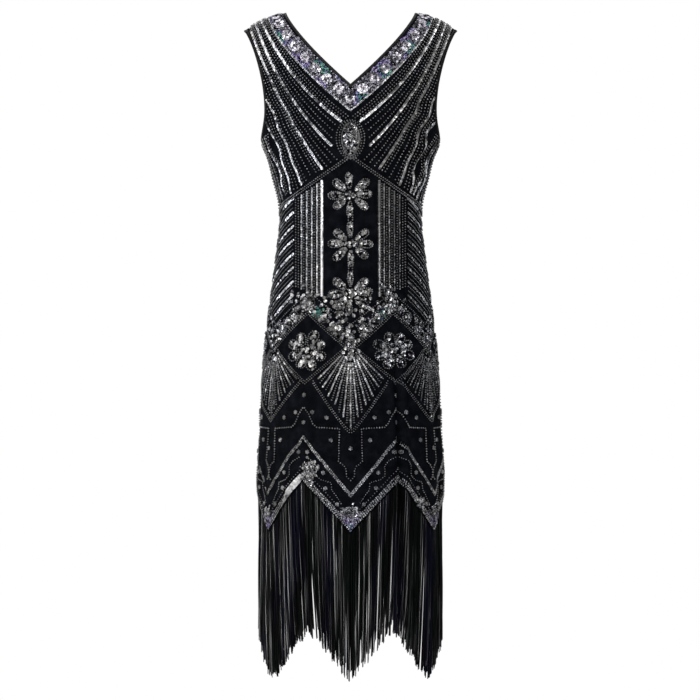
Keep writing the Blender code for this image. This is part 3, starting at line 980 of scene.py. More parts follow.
def petal(side, level, turn, angle, reach, half_width, widen=1.0, count=60):
    """A drop shape along an angle: its width is the sine of the way round, fuller at the tip."""
    t = np.linspace(0, 2 * np.pi, count)
    middle, half = sum(reach) / 2, (reach[1] - reach[0]) / 2
    along = middle - half * np.cos(t)
    aside = half_width * np.sin(t) * (1 - 0.35 * np.cos(t))
    return slanted(side, level, turn, angle, along, aside, widen)


def petal_fill(side, level, turn, angle, reach, half_width, count, seed, widen=1.0):
    """Places at random inside a drop shape, whose width is a sine that peaks towards the tip."""
    chance = np.random.default_rng(seed)
    share, aside = chance.uniform(0.06, 0.94, count), chance.uniform(-0.8, 0.8, count)
    along = reach[0] + (reach[1] - reach[0]) * share
    aside = aside * half_width * np.sin(np.pi * share ** 0.8)
    return scatter(side, *slanted(side, level, turn, angle, along, aside, widen), seed=seed)


for side in SIDES:
    chance = np.random.default_rng(41)
    loops, cups = [], []
    for k, level in enumerate(FLOWER_LEVELS):
        for j, (angle, half_width) in enumerate(PETALS):
            reach = PETAL_REACH[0], PETAL_REACH[1] * chance.uniform(0.92, 1.0)
            angle = angle + chance.normal(0, 3)
            loop = petal(side, level, 0.0, angle, reach, half_width)
            loops.append(stitch(side, *loop, PETAL_PITCH))
            count = PETAL_CUPS if half_width > LEAF_HALF else LEAF_CUPS
            cups.append(petal_fill(side, level, 0.0, angle, reach, half_width, count,
                                   420 + 10 * k + j))
        cups.append(petal_fill(side, level, 0.0, 0, (-HEART[0], HEART[0]), HEART[1], HEART_CUPS,
                               470 + k))
    for x in (-STEM_HALF, STEM_HALF):
        column = stitch(side, *to_dress(x, np.linspace(*STEM, 200)), STEM_PITCH)
        away = np.min(np.abs(column[:, :1] - np.array(FLOWER_LEVELS)), axis=1)
        loops.append(column[away > STEM_CLEAR])
    sew("centre_flower_loops", side, loops, bead(*PETAL_BEAD), glass, wobble=12, seed=41,
        tones=(0.1, 0.8), waves=0.4)
    sew("centre_flower_cups", side, cups, sequin(0.0027, 0.0010), silver, lift=0.0008, wobble=20,
        seed=42, tones=(0.15, 1.0), dull=1.2, waves=0.2)


# ---- The pillars ----
# Upright lines beside the centre panel: silver sequins and dotted rows by turns, and the
# brightest line, a little wider, at the panel's edge. All are darker on the front's left half
# by painted shade.

PILLAR_BRIGHT = [0.0484, 0.0565, 0.0653, 0.0739, 0.0829]
PILLAR_DOTTED = [0.0525, 0.0609, 0.0696, 0.0784, 0.0875, 0.0920]
PILLAR_TOP = 0.0095                  # below the chevron
PILLAR_FOOT = 0.484                  # level of the innermost line's foot
PILLAR_FOOT_SLOPE = 0.3

for side in SIDES:
    edge, lines, dotted = [], [], []
    for hand in HANDS:
        for x in PILLAR_BRIGHT + PILLAR_DOTTED:
            top = CHEVRON_TOP + CHEVRON_SLOPE * x + neck_sink(x, side) + PILLAR_TOP
            foot = PILLAR_FOOT - PILLAR_FOOT_SLOPE * (x - PILLAR_BRIGHT[0])
            route = to_dress(hand * x, np.linspace(top, foot, 150))
            if x in PILLAR_DOTTED:
                dotted.append(stitch(side, *route, DOT_PITCH * 0.9))
            elif x == PILLAR_BRIGHT[0]:
                edge.append(stitch(side, *route, LINE_PITCH))
            else:
                lines.append(stitch(side, *route, LINE_PITCH))
    # left below 1 darkens the front's left half of each of these as painted shade
    sew("pillar_edges", side, edge, sequin(LINE_SEQUIN * 1.1), line_silver, lean=9, wobble=4,
        seed=51, tones=(0.8, 1.0), waves=0.1, left=0.2)
    sew("pillar_lines", side, lines, sequin(LINE_SEQUIN * 0.85), line_silver, lean=9, wobble=8,
        seed=52, tones=(0.1, 0.9), waves=0.8, left=0.3)
    sew("pillar_dots", side, dotted, bead(*DOT_BEAD), glass, wobble=6, seed=53,
        tones=(0.0, 0.5), left=0.6)


# ---- The side rays ----
# Slanting lines from the pillars down and out to the side seams, where front and back meet in
# a V: one line of silver sequins, then two thin rows of beads, and so on down to the hips.

SIDE_RAYS = (0.318, 0.530, 0.0235)   # level of the first, of the last, and pitch
SIDE_RAY_FALL = (0.0010, 0.0020)     # metres down for each degree round, of the first and last
SIDE_RAY_X = 0.0965
SIDE_RAY_END = 87.5
GARLAND_TOP = (0.4780, 0.5330)       # levels at its peaks and valleys
GARLAND_CLEAR = 0.004

for side in SIDES:
    bright, thin = [], []
    for hand in HANDS:
        for below, kind in ((0.0, bright), (1 / 3, thin), (2 / 3, thin)):
            for level in np.arange(*SIDE_RAYS) + below * SIDE_RAYS[2]:
                start = turn_at(SIDE_RAY_X, level)
                fall = np.interp(level, SIDE_RAYS[:2], SIDE_RAY_FALL)
                turn = np.linspace(start, SIDE_RAY_END, 80)
                route = level + fall * (turn - start), hand * turn
                row = stitch(side, *route, LINE_PITCH if kind is bright else SEED_PITCH * 1.2)
                kind.append(row[row[:, 0] < zigzag(row[:, 1], *GARLAND_TOP) - GARLAND_CLEAR])
    # left below 1 darkens the front's left half of these silver lines as painted shade
    sew("side_rays", side, bright, sequin(LINE_SEQUIN * 1.1), line_silver, lean=9, wobble=8,
        seed=61, tones=(0.75, 1.0), waves=0.3, left=0.55)
    sew("side_ray_beads", side, thin, bead(*SEED_BEAD), glass, wobble=6, seed=62,
        tones=(0.0, 0.6))


# ---- The garland ----
# A zigzag band round the hips, between dotted rows: beaded rosettes along it with silver cups
# in them, and loose silver and green sequins scattered in between, thickest in its valleys.

GARLAND_FOOT = (0.5150, 0.5800)
PEAKS = (-90, -30, 30, 90)           # turns of a zigzag's peaks
VALLEYS = (-60, 0, 60)               # and of its valleys, which at the hem are its points
ALL_ROUND = 89                       # turn at which a zigzag row ends beside the side seam
RING_TURNS = [0.0, 11.5, 21.5, 30.0]   # of the rosettes, on either side of each peak
RING_SIZES = [0.0105, 0.0085, 0.0085, 0.0070]
RING_PITCH = 0.0034
RING_CUPS = 5
GLINT_HALF = 0.6                     # half length of a glint, as a share of the ring's size
GREEN_TURN, GREEN_LEVEL = 23, 0.517  # middle of the green patches
LOOSE_TRIES = 5200                   # places drawn for the loose sequins, of which few are kept
LOOSE_TOP, LOOSE_FOOT = 0.003, 0.007   # clear of the band's edges
TIP_CLUSTER = 0.0130                 # radius of the cups in each valley
TIP_CUPS = 24
INNER_EDGE = 0.0095                  # of a row of single cups, above the band's foot
DRIFT_X, DRIFT_LEVELS, DRIFT_CUPS = 0.098, (0.478, 0.528), 130   # above the band, in the middle
PEAK_SPREAD, PEAK_CUPS = 0.013, 26   # of the cups under a peak


def green_patches(level, turn):
    """Green in an oval round the middle of each patch, otherwise dark grey."""
    away = np.hypot((np.abs(turn) - GREEN_TURN) / 6.0, (level - GREEN_LEVEL) / 0.014)
    return np.where(away < 1, 0.90, 0.22)


for side in SIDES:
    chance = np.random.default_rng(71)
    rows, cups, loose, green, glints = [], [], [], [], []
    turn = np.linspace(-ALL_ROUND, ALL_ROUND, 1800)
    for border, below in ((GARLAND_TOP, 0.0), (GARLAND_FOOT, -DOUBLE_GAP), (GARLAND_FOOT, 0.0)):
        rows.append(stitch(side, zigzag(turn, *border) + below, turn, DOT_PITCH * 0.75))
    for peak in PEAKS:
        for hand in HANDS:
            for away, radius in zip(RING_TURNS, RING_SIZES):
                centre = peak + hand * away
                if abs(centre) > 86 or (away in (0.0, 30.0) and hand < 0):
                    continue
                level = (zigzag(centre, *GARLAND_TOP) + zigzag(centre, *GARLAND_FOOT)) / 2
                ring = oval(side, level, centre, radius, radius * 1.15)
                rows.append(stitch(side, *ring, RING_PITCH))
                t = chance.uniform(0, 6) + np.arange(RING_CUPS) * 2 * np.pi / RING_CUPS
                spots = around(side, level, centre, radius * 0.42 * np.cos(t),
                               radius * 0.45 * np.sin(t))
                cups.append(scatter(side, *spots, seed=int(peak + 200 + away)))
                slant = np.radians(centre * 41 + 20)
                way = np.linspace(-GLINT_HALF, GLINT_HALF, 20) * radius
                stroke = around(side, level, centre, way * np.cos(slant), way * np.sin(slant))
                glints.append(stitch(side, *stroke, 0.0030))
    turn = chance.uniform(-88, 88, LOOSE_TRIES)
    share = chance.uniform(0, 1, LOOSE_TRIES)
    top, foot = zigzag(turn, *GARLAND_TOP) + LOOSE_TOP, zigzag(turn, *GARLAND_FOOT) - LOOSE_FOOT
    level = top + (foot - top) * share
    valley = zigzag(turn, 0.0, 1.0)
    clumps = np.sin(turn * 0.9 + 1) + np.sin(level * 310 + 2) + np.sin(turn * 0.5 + level * 190)
    kept = chance.uniform(0, 1, LOOSE_TRIES) < (0.03 + 0.10 * valley + 0.055 * clumps)
    bright = kept & (chance.uniform(0, 1, LOOSE_TRIES) < 0.6)
    loose.append(scatter(side, level[bright], turn[bright], seed=72))
    nearness = np.exp(-((np.abs(turn) - GREEN_TURN) / 4.5) ** 2
                      - ((level - GREEN_LEVEL) / 0.010) ** 2)
    near_green = nearness > chance.uniform(0, 1.2, LOOSE_TRIES)
    dark = (kept & ~bright) | (near_green & (chance.uniform(0, 1, LOOSE_TRIES) < 0.30))
    green.append(scatter(side, level[dark], turn[dark], seed=73))
    for centre in VALLEYS:
        t = chance.uniform(0, 2 * np.pi, TIP_CUPS)
        radius = np.sqrt(chance.uniform(0, 1, TIP_CUPS)) * TIP_CLUSTER
        spots = around(side, GARLAND_FOOT[1] + 0.001, centre, 1.25 * radius * np.cos(t),
                       radius * np.sin(t))
        loose.append(scatter(side, *spots, seed=74))
    turn = np.linspace(-ALL_ROUND, ALL_ROUND, 900)
    inner_edge = stitch(side, zigzag(turn, *GARLAND_FOOT) - INNER_EDGE, turn, 0.0055)
    loose.append(inner_edge[chance.uniform(0, 1, len(inner_edge)) < 0.7])
    x = chance.uniform(-DRIFT_X, DRIFT_X, DRIFT_CUPS)
    spots = scatter(side, *to_dress(x, chance.uniform(*DRIFT_LEVELS, DRIFT_CUPS)), seed=78)
    level, turn = spots[:, 0], spots[:, 1]
    over = (level < zigzag(turn, *GARLAND_TOP)) & (level > 0.492 - 0.0004 * np.abs(turn))
    loose.append(spots[over])
    for centre in PEAKS[1:3]:
        u, down = chance.normal(0, PEAK_SPREAD, (2, PEAK_CUPS))
        spots = scatter(side, *around(side, GARLAND_TOP[0] + 0.014, centre, u, down), seed=79)
        loose.append(spots[spots[:, 0] < zigzag(spots[:, 1], *GARLAND_FOOT) - 0.008])
    sew("garland_rows", side, rows, bead(*SEED_BEAD), glass, wobble=8, seed=75, tones=(0.0, 0.8))
    sew("garland_cups", side, cups + loose, sequin(*CUP), silver, lift=0.0006, wobble=18, seed=76,
        dull=1.4, waves=0.4)
    sew("garland_glints", side, glints, sequin(0.0028, 0.0004), silver, lift=0.0016, wobble=9,
        seed=70, tones=(0.6, 1.0), waves=0.5)
    sew("garland_green", side, green, sequin(0.0024, 0.0008), iridescent, lift=0.0004, wobble=16,
        seed=77, waves=0.2, tone_map=green_patches)


# ---- The large flowers ----
# One under each peak of the garland, in a dark diamond: eight round petals of beaded loops with
# silver cups and long silver sequins in them, round a cluster of cups.

LARGE_FLOWER_LEVEL = 0.5765
LARGE_PETALS = 8
LARGE_REACH = (0.0085, 0.0360)
LARGE_WIDEN = 1.16
LARGE_HALF, LARGE_FILL = 0.0072, 0.0060   # half width of a loop, and of the cups in it
LARGE_PITCH = 0.0038
LARGE_CUPS, LARGE_HEART_CUPS = 9, 7
LARGE_HEART = (0.008, 0.007)
STROKE = (0.009, 0.0012)             # length and half width of the long sequins' loop
STROKE_PITCH = 0.0034

for side in SIDES:
    chance = np.random.default_rng(81)
    loops, cups, glints = [], [], []
    for j, middle in enumerate(PEAKS):
        flower = side, LARGE_FLOWER_LEVEL, middle
        for k in range(LARGE_PETALS):
            angle = 360 / LARGE_PETALS * (k + 0.5) + chance.normal(0, 5)
            reach = LARGE_REACH[0], LARGE_REACH[1] * chance.uniform(0.84, 1.0)
            loop = petal(*flower, angle, reach, LARGE_HALF, LARGE_WIDEN)
            loops.append(stitch(side, *loop, LARGE_PITCH))
            cups.append(petal_fill(*flower, angle, reach, LARGE_FILL, LARGE_CUPS,
                                   810 + 10 * j + k, LARGE_WIDEN))
            first = chance.uniform(0.012, 0.020)
            if k % 3 != 1:
                stroke = petal(*flower, angle, (first, first + STROKE[0]), STROKE[1], LARGE_WIDEN)
                glints.append(stitch(side, *stroke, STROKE_PITCH))
        cups.append(petal_fill(*flower, 0, (-LARGE_HEART[0], LARGE_HEART[0]), LARGE_HEART[1],
                               LARGE_HEART_CUPS, 80))
    sew("large_flower_loops", side, loops, bead(*PETAL_BEAD), glass, wobble=12, seed=83,
        tones=(0.0, 0.7))
    sew("large_flower_cups", side, cups, sequin(*CUP), silver, lift=0.0006, wobble=19, seed=84,
        tones=(0.1, 1.0), dull=1.4, waves=0.3)
    sew("large_flower_glints", side, glints, sequin(0.0026, 0.0004), silver, lift=0.0012,
        wobble=9, seed=85, tones=(0.6, 1.0), waves=0.4)


# ---- The fans ----
# Under each valley of the garland a fan of sequin rays with dotted rows between them. Dotted
# double rows edge it: down to its tip, and along the diamond of the large flower beside it.

FAN_APEX = 0.5680
FAN_TIPS = {0: 0.7110, 60: 0.6930}
FAN_CORNER = (0.0620, 0.6190)        # half width there, and level
DIAMOND = (0.6335, 0.5680)           # levels of its foot, below a peak, and at the valleys
FAN_RAYS = [0, 5.5, 14, 23, 33, 43.5]
FAN_DOTTED = [(a + b) / 2 for a, b in zip(FAN_RAYS, FAN_RAYS[1:])] + [2.0, 9.0, 18.0]
FAN_START = 0.0200                   # of the outer rays, from the apex
FAN_LATER = 0.009                    # how much further down the others start
FAN_TIP_ROUND = 0.006                # half width of the rounding at its tip
APEX_CLEAR = 4.5                     # degrees beside a fan's apex without a diamond's edge

for side in SIDES:
    bright, dotted = [], []
    for centre in VALLEYS:
        tip = FAN_TIPS[abs(centre)]
        slope = (tip - FAN_CORNER[1]) / FAN_CORNER[0]
        for hand in HANDS:
            for angle in FAN_RAYS + FAN_DOTTED:
                if angle == 0 and hand < 0:
                    continue
                slant = np.radians(angle)
                reach = (tip - FAN_APEX) / (np.cos(slant) + slope * np.sin(slant)) - 0.003
                start = FAN_START + (0.0 if angle in FAN_RAYS[2:] else FAN_LATER)
                way = np.linspace(start, reach, 60)
                route = around(side, FAN_APEX, centre, hand * way * np.sin(slant),
                               way * np.cos(slant))
                if angle in FAN_RAYS:
                    bright.append(stitch(side, *route, LINE_PITCH))
                else:
                    dotted.append(stitch(side, *route, DOT_PITCH * 0.8))
            u = np.linspace(0, FAN_CORNER[0], 80)
            for below in (0.0, DOUBLE_GAP):
                rounded = slope * (FAN_TIP_ROUND - np.hypot(u, FAN_TIP_ROUND))
                route = around(side, FAN_APEX, centre, hand * u, tip - FAN_APEX + below + rounded)
                dotted.append(stitch(side, *route, DOT_PITCH * 0.8))
    turn = np.linspace(-ALL_ROUND, ALL_ROUND, 1500)
    for below in (-DOUBLE_GAP, 0.0):
        edges = stitch(side, zigzag(turn, *DIAMOND) + below, turn, DOT_PITCH * 0.75)
        turns = np.abs(edges[:, 1])
        dotted.append(edges[np.minimum(turns, np.abs(turns - 60)) > APEX_CLEAR])
    sew("fan_rays", side, bright, sequin(LINE_SEQUIN * 0.8), line_silver, lean=9, wobble=10,
        seed=91, tones=(0.0, 0.95), dull=1.8, waves=0.9)
    sew("fan_dots", side, dotted, bead(*SEED_BEAD), glass, wobble=6, seed=92, tones=(0.0, 0.7))


# ---- The plain band ----
# Dark net below the fans, with one stepped dotted line and small round clusters of beads.

# Corners of the line, round from a peak of the hem and their level
STEPS = [(0.000, 0.672), (0.0095, 0.684), (0.0165, 0.700), (0.0230, 0.7065), (0.0620, 0.7085),
         (0.0610, 0.764), (0.0700, 0.771), (0.0735, 0.778), (0.0740, 0.789), (0.0800, 0.7960)]
STEPS_AROUND = 0.72                  # level at which the way round is measured
CLUSTERS = [(0.0000, 0.652), (0.0155, 0.681), (0.0400, 0.690), (0.0000, 0.698), (0.0480, 0.728)]
CLUSTER_BEAD = (0.0027, 0.0014)
CLUSTER_RING, CLUSTER_PITCH = 0.0024, 0.0025
POINT_CLUSTER = 0.742                # in the middle between two peaks
SIDE_LINE = (80.0, 0.580, 0.790)     # turn of an upright dotted line, and levels of its ends
# Both sides of each peak, without those past the side seams
HALVES = [(peak, hand) for peak in PEAKS for hand in HANDS if abs(peak + hand) <= 90]


def cornered(side, corners, at_level, peak, hand, count):
    """Levels and turns along straight lines from corner to corner, on one side of a peak."""
    way = np.linspace(0, len(corners) - 1, count)
    u, level = [np.interp(way, range(len(corners)), column) for column in zip(*corners)]
    return level, around(side, at_level, peak, hand * u, 0)[1]


def cluster(side, level, turn, seed=1):
    """A bead with a ring of beads round it."""
    return [scatter(side, [level], [turn], seed=seed),
            stitch(side, *oval(side, level, turn, CLUSTER_RING), CLUSTER_PITCH)]


for side in SIDES:
    stepped, clusters = [], []
    for peak, hand in HALVES:
        route = cornered(side, STEPS, STEPS_AROUND, peak, hand, 400)
        stepped.append(stitch(side, *route, DOT_PITCH * 0.86))
        for u, level in CLUSTERS:
            if u == 0 and (hand < 0 or abs(peak) == 90):
                continue
            turn = around(side, STEPS_AROUND, peak, hand * u, 0)[1]
            clusters += cluster(side, level, turn, int(level * 1e4))
    for turn in VALLEYS:
        clusters += cluster(side, POINT_CLUSTER, turn)
    for hand in HANDS:
        turn, top, foot = SIDE_LINE
        stepped.append(stitch(side, np.linspace(top, foot, 200), hand * turn, DOT_PITCH))
    sew("stepped_line", side, stepped, bead(*DOT_BEAD), glass, wobble=6, seed=101,
        tones=(0.0, 0.75))
    sew("bead_clusters", side, clusters, bead(*CLUSTER_BEAD), glass, wobble=8, seed=102,
        tones=(0.1, 0.9), waves=0.8)


# ---- The hem band ----
# A zigzag band: close silver rows at its upper edge and a border of three close rows at the
# hem. Between them run a dotted scroll and round clusters, with half flowers at its turns.

BAND_TOP = (0.7205, 0.8190)
BAND_TOP_ROWS = [0.0, 0.0042]        # below its upper edge
BORDER_ROWS = [0.0032, 0.0072, 0.0112]   # up from the hem, square to it
SQUARE_TO_HEM = 1.2                  # metres down for each metre square to the slanting hem
THIN_ROW = 0.0235                    # level above the hem
SATIN_ROWS = (0.0035, 0.0150, 0.0030)    # first, last and pitch, up from the hem
# the one arm whose close rows are bright, a painted glint of the light from the left
SATIN_ARM = (-47.0, -31.5)           # turns of the satin stretch's ends
SATIN_SLANT = 400                    # degrees later for each metre up
# Corners of the scroll and places of its clusters, round from a peak of the hem, and level
SCROLL = [(0.0060, 0.7560), (0.0190, 0.7640), (0.0250, 0.7720), (0.0245, 0.7880), (0.0330, 0.7950),
          (0.0500, 0.8000), (0.0510, 0.8120), (0.0580, 0.8210), (0.0680, 0.8370)]
SCROLL_DOTS = [(0.0090, 0.7480), (0.0360, 0.7830), (0.0400, 0.8090), (0.0600, 0.8360)]
SCROLL_AROUND = 0.8                  # level at which the way round is measured
# Half flowers: turn, level, half width and half height
HALF_FLOWERS = [(-25.5, 0.7790, 0.0125, 0.0180), (47.0, 0.8360, 0.0110, 0.0120),
                (0.0, 0.8470, 0.0120, 0.0080), (-60.0, 0.8490, 0.0100, 0.0080),
                (60.0, 0.8490, 0.0100, 0.0080), (84.0, 0.7790, 0.0070, 0.0110)]
FLOWER_DENSITY = 0.65e6              # cups for each square metre of half width by half height
FLOWER_SPREAD = 0.48                 # of the half width and height
TIP_TOP = 0.8480                     # level
TIP_HALF, TIP_HEIGHT, TIP_SEQUINS = 0.017, 0.033, 190


def tip_tones(level, turn):
    """Grey with violet, more of it further down."""
    return np.clip(0.15 + (level - 0.850) * 22, 0.15, 0.62) + 0 * turn


for side in SIDES:
    chance = np.random.default_rng(111)
    top_rows, hem_rows, satin_rows, thin_rows = [], [], [], []
    scroll, dots, half_flowers, tips = [], [], [], []
    turn = np.linspace(-89.4, 89.4, 2400)
    for below in BAND_TOP_ROWS:
        level = zigzag(turn, *BAND_TOP) + below
        top_rows.append(stitch(side, level, turn, 0.0034, start=below * 100))
    for up in BORDER_ROWS:
        level = hem_level(turn) - up * SQUARE_TO_HEM
        hem_rows.append(stitch(side, level, turn, 0.0040, margin=0.001, start=up * 80))
    thin_rows.append(stitch(side, hem_level(turn) - THIN_ROW, turn, DOT_PITCH))
    for up in np.arange(*SATIN_ROWS):
        arm = np.linspace(SATIN_ARM[0] + up * SATIN_SLANT, SATIN_ARM[1], 200)
        level = hem_level(arm) - up * SQUARE_TO_HEM
        satin_rows.append(stitch(side, level, arm, 0.0028, margin=0.001))
    for peak, hand in HALVES:
        route = cornered(side, SCROLL, SCROLL_AROUND, peak, hand, 300)
        scroll.append(stitch(side, *route, DOT_PITCH * 0.8))
        for u, level in SCROLL_DOTS:
            turn = around(side, SCROLL_AROUND, peak, hand * u, 0)[1]
            dots += cluster(side, level, turn, int(level * 1e4))
    for centre, level, half_width, half_height in HALF_FLOWERS:
        count = int(half_width * half_height * FLOWER_DENSITY)
        u = half_width * FLOWER_SPREAD * chance.normal(0, 1, count)
        down = half_height * FLOWER_SPREAD * chance.normal(0, 1, count)
        half_flowers.append(scatter(side, *around(side, level, centre, u, down), seed=112))
    for centre in VALLEYS:
        u = chance.uniform(-TIP_HALF, TIP_HALF, TIP_SEQUINS)
        down = chance.uniform(0.0, TIP_HEIGHT, TIP_SEQUINS)
        kept = np.abs(u) < (0.034 - down) * 0.6
        tips.append(scatter(side, *around(side, TIP_TOP, centre, u[kept], down[kept]), seed=113))
    sew("band_top_rows", side, top_rows, sequin(0.0016, 0.0007), line_silver, lean=16, wobble=13,
        seed=113, tones=(0.0, 0.6), dull=1.6, waves=0.8)
    sew("hem_rows", side, hem_rows, sequin(0.0016, 0.0008), line_silver, lean=12, wobble=15,
        seed=114, tones=(0.0, 0.5), dull=1.6, waves=0.7)
    # real close rows on one arm, whose bright tones are a painted glint of the light from the left
    sew("hem_satin_rows", side, satin_rows, sequin(LINE_SEQUIN), line_silver, lift=0.0009, lean=6,
        wobble=7, seed=119, tones=(0.4, 1.0), waves=0.6)
    sew("hem_thin_rows", side, thin_rows, bead(*SEED_BEAD), glass, wobble=8, seed=110,
        tones=(0.0, 0.6), waves=0.9)
    sew("hem_scroll", side, scroll, bead(*SEED_BEAD), glass, wobble=6, seed=115,
        tones=(0.1, 0.8))
    sew("hem_clusters", side, dots, bead(*CLUSTER_BEAD), glass, wobble=8, seed=116,
        tones=(0.2, 1.0), waves=0.8)
    sew("hem_patches", side, half_flowers, sequin(0.0024, 0.0009), silver, lift=0.0005, wobble=20,
        seed=117, tones=(0.1, 1.0), dull=1.3, waves=0.2)
    sew("hem_tips", side, tips, sequin(0.0019, 0.0006), iridescent, lift=0.0005, wobble=16,
        seed=118, waves=0.2, tone_map=tip_tones)


# ---- The fringe ----
# Rayon cords sewn to a tape behind the hem, in two layers. Each is a few threads that cling
# together more towards their end. They hang straight, with a few narrow gaps between them.

FRINGE_LENGTH = 0.256                # below the hem
THREAD_RADIUS = 0.00085
THREAD_SIDES = 3
CORDS = 126                          # in one layer
CORD_THREADS = 4
CORD_SPREAD = 0.40                   # degrees between the threads of a cord at the tape
CLING = (0.55, 1.0)                  # share of that spread which is gone at the ends
LAYER_DEPTHS = [0.0030, 0.0048]      # behind the dress's outside
THREAD_RINGS = 11
TAPE = 0.010                         # how far above the hem the threads start
TIP_BLUNTING = 0.004          # metres that the cords at the hem's points end above a sharp point
UNEVEN_ENDS = (0.008, 0.042)         # how much shorter a cord is cut, on average and at most
THREAD_SWAY = 0.18                   # degrees
INWARD_LEAN = 4.0             # degrees of turn at the end, of cords halfway to the side seam
# Gaps: turn at the tape, and half width in degrees at the cords' ends
GAPS = [(-25.8, 1.0), (40.0, 0.5), (53.5, 1.2), (-66.0, 0.6), (-61.0, 0.4), (64.0, 0.4),
        (69.0, 0.4), (-44.9, 0.3)]
GAP_REACH = 3.5                      # how far from a gap the cords make way, in half widths


def black_rayon():
    """Black thread, bluish here and greenish there, with painted highlights in streaks: a noise on
    the map OFBake, quick from thread to thread and slow along them, adds grey to the colour and
    makes it metallic there, as if those threads turned to the light."""
    thread = Finish("black_rayon", specular_ior_level=0.06)
    across, along = own_tones(thread)

    def noise(scale_across, scale_along, **settings):
        where = thread.node("ShaderNodeCombineXYZ", {},
                            {"X": across * scale_across, "Y": along * scale_along})
        return thread.node("ShaderNodeTexNoise", {"noise_dimensions": "2D"},
                           {"Vector": where, "Scale": 1.0, **settings})

    highlight_streak, region = noise(300, 1.0, Detail=1.2, Roughness=0.6), noise(14, 1.2, Detail=1.0)
    tint = thread.ramp(region, (0.35, (0.0009, 0.0012, 0.0070)), (0.50, (0.0006, 0.0006, 0.0008)),
                       (0.65, (0.0007, 0.0026, 0.0016)))
    # painted highlight: grey added to the threads' colour, and metal, in streaks where they would
    # catch the light
    painted_highlight = thread.ramp(highlight_streak, (0.60, (0.0, 0.0, 0.0)), (0.68, (0.16, 0.16, 0.16)),
                        (0.78, (0.68, 0.68, 0.66)))
    highlight_mask = thread.node("ShaderNodeMapRange", {}, {"Value": highlight_streak, "From Min": 0.60,
                                                  "From Max": 0.67})
    return thread.feed(base_color=mixed(thread, "ADD", tint, painted_highlight), metallic=highlight_mask,
                       roughness=0.42 - highlight_mask * 0.12)


def thread_tubes(path, radius, sides=THREAD_SIDES):
    """A tube round each path, of level rings, closed at both ends."""
    count, rings = path.shape[:2]
    angle = np.arange(sides) * 2 * np.pi / sides + 0.5
    circle = np.stack([np.cos(angle), np.sin(angle), 0 * angle], -1)
    points = path[:, :, None] + circle * radius[:, None, None, None]
    ring = np.arange(rings - 1)[:, None] * sides
    here, there = np.arange(sides), (np.arange(sides) + 1) % sides
    quads = np.stack([ring + here, ring + here + sides, ring + there + sides, ring + there], -1)
    quads = quads.reshape(-1, 4)
    triangles = np.vstack([quads[:, [0, 1, 2]], quads[:, [0, 2, 3]], [here],
                           [here[::-1] + (rings - 1) * sides]])
    faces = np.arange(count)[:, None, None] * rings * sides + triangles[None]
    return points.reshape(-1, 3), faces.reshape(-1, 3)


def fringe_layer(side, depth, way, chance):
    """The threads of one layer as paths, and their turns. A thread's turn is its cord's, plus its
    place in the cord, a lean that grows with the cube of the way down, a small sine, and the gaps,
    each a bell curve round its middle. It lies inside the shell as far as the hem, and hangs
    straight down the form from there."""
    cord = np.linspace(-89.7, 89.7, CORDS)
    cord = cord + 3.0 * np.sin(np.radians(2 * cord)) + chance.uniform(-0.3, 0.3, CORDS)
    blunt = np.maximum(hem_level(cord) - (HEM_POINT - TIP_BLUNTING), 0)
    cut = chance.exponential(UNEVEN_ENDS[0], CORDS).clip(0, UNEVEN_ENDS[1])
    length = FRINGE_LENGTH - 0.002 - blunt - cut
    lean = (chance.normal(0, 0.45, CORDS) + 0.26 * np.sin(cord * 1.7 + 1 + SIGN[side])
            + 0.40 * np.sin(cord * 0.55 + 2 + SIGN[side]))
    sway, cling = chance.uniform(0, 6, CORDS), chance.uniform(*CLING, CORDS)
    thread = np.tile(np.arange(CORD_THREADS) - (CORD_THREADS - 1) / 2, CORDS)
    cord, length, lean, sway, cling = [np.repeat(of_cord, CORD_THREADS)[:, None]
                                       for of_cord in (cord, length, lean, sway, cling)]
    apart = thread[:, None] * CORD_SPREAD * (1 - cling * way ** 0.7)
    turn = cord + apart + lean * way ** 3 + THREAD_SWAY * np.sin(way * 6 + sway)
    turn = turn - INWARD_LEAN * np.sin(np.radians(2 * cord)) * way ** 1.5
    for gap, half_width in GAPS:
        away = cord - gap
        opened = half_width * way ** 0.7 * np.exp(-(away / (half_width * GAP_REACH)) ** 2)
        turn = turn + np.where(away < 0, -1, 1) * opened
    turn = np.clip(turn, -90.2, 90.2)
    top = hem_level(turn[:, :1]) - TAPE
    length = length + TAPE + chance.normal(0, 0.0015, (len(turn), 1))
    level = top + length * way
    hem = np.minimum(level, hem_level(turn))
    path = on_dress(hem, turn, side) + on_form(level, turn, side) - on_form(hem, turn, side)
    loose = chance.normal(0, 0.0010, (len(turn), 1)) * way
    inward = depth + loose + 0.0006 * np.sin(way * 7 + sway)
    path[..., :2] -= outward(on_form, level, turn, side)[..., :2] * inward[..., None]
    return path, turn


rayon = black_rayon()
way = np.linspace(0, 1, THREAD_RINGS)[None]
corners = np.array([[0, 0], [0.0012, 0], [-0.0012, 0]])   # on the map, of a thread's three sides
for side, seed in zip(SIDES, (121, 122)):
    chance = np.random.default_rng(seed)
    layers = [fringe_layer(side, depth, way, chance) for depth in LAYER_DEPTHS]
    paths, turns = (np.vstack(columns) for columns in zip(*layers))
    points, faces = thread_tubes(paths, THREAD_RADIUS * chance.uniform(0.8, 1.15, len(paths)))
    across = turns[:, :1] / 180 + 0.5 + chance.uniform(-0.004, 0.004, (len(paths), 1))
    uv = np.stack([np.clip(across, 0.005, 0.995) + 0 * way, 0 * across + way * 0.9 + 0.05], -1)
    uv = (uv[:, :, None] + corners).reshape(-1, 2)
    threads = new_object(f"fringe_threads_{side}", points, faces, rayon, uv, True, "OFBake")
    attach(threads, "root")
    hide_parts(f"fringe_{side}")
    sewn[side].append(threads)


# ---- The studio ----
# A pale floor below the dress, white all round it, and soft lights: two tall ones on the left
# as seen from the front, weaker ones on the right, above and behind, and two small ones in front.

FLOOR_LEVEL = -1.45
FLOOR_RADIUS = 4.4
FLOOR_SIDES = 96
WHITE = (1.0, 1.0, 1.0, 1.0)

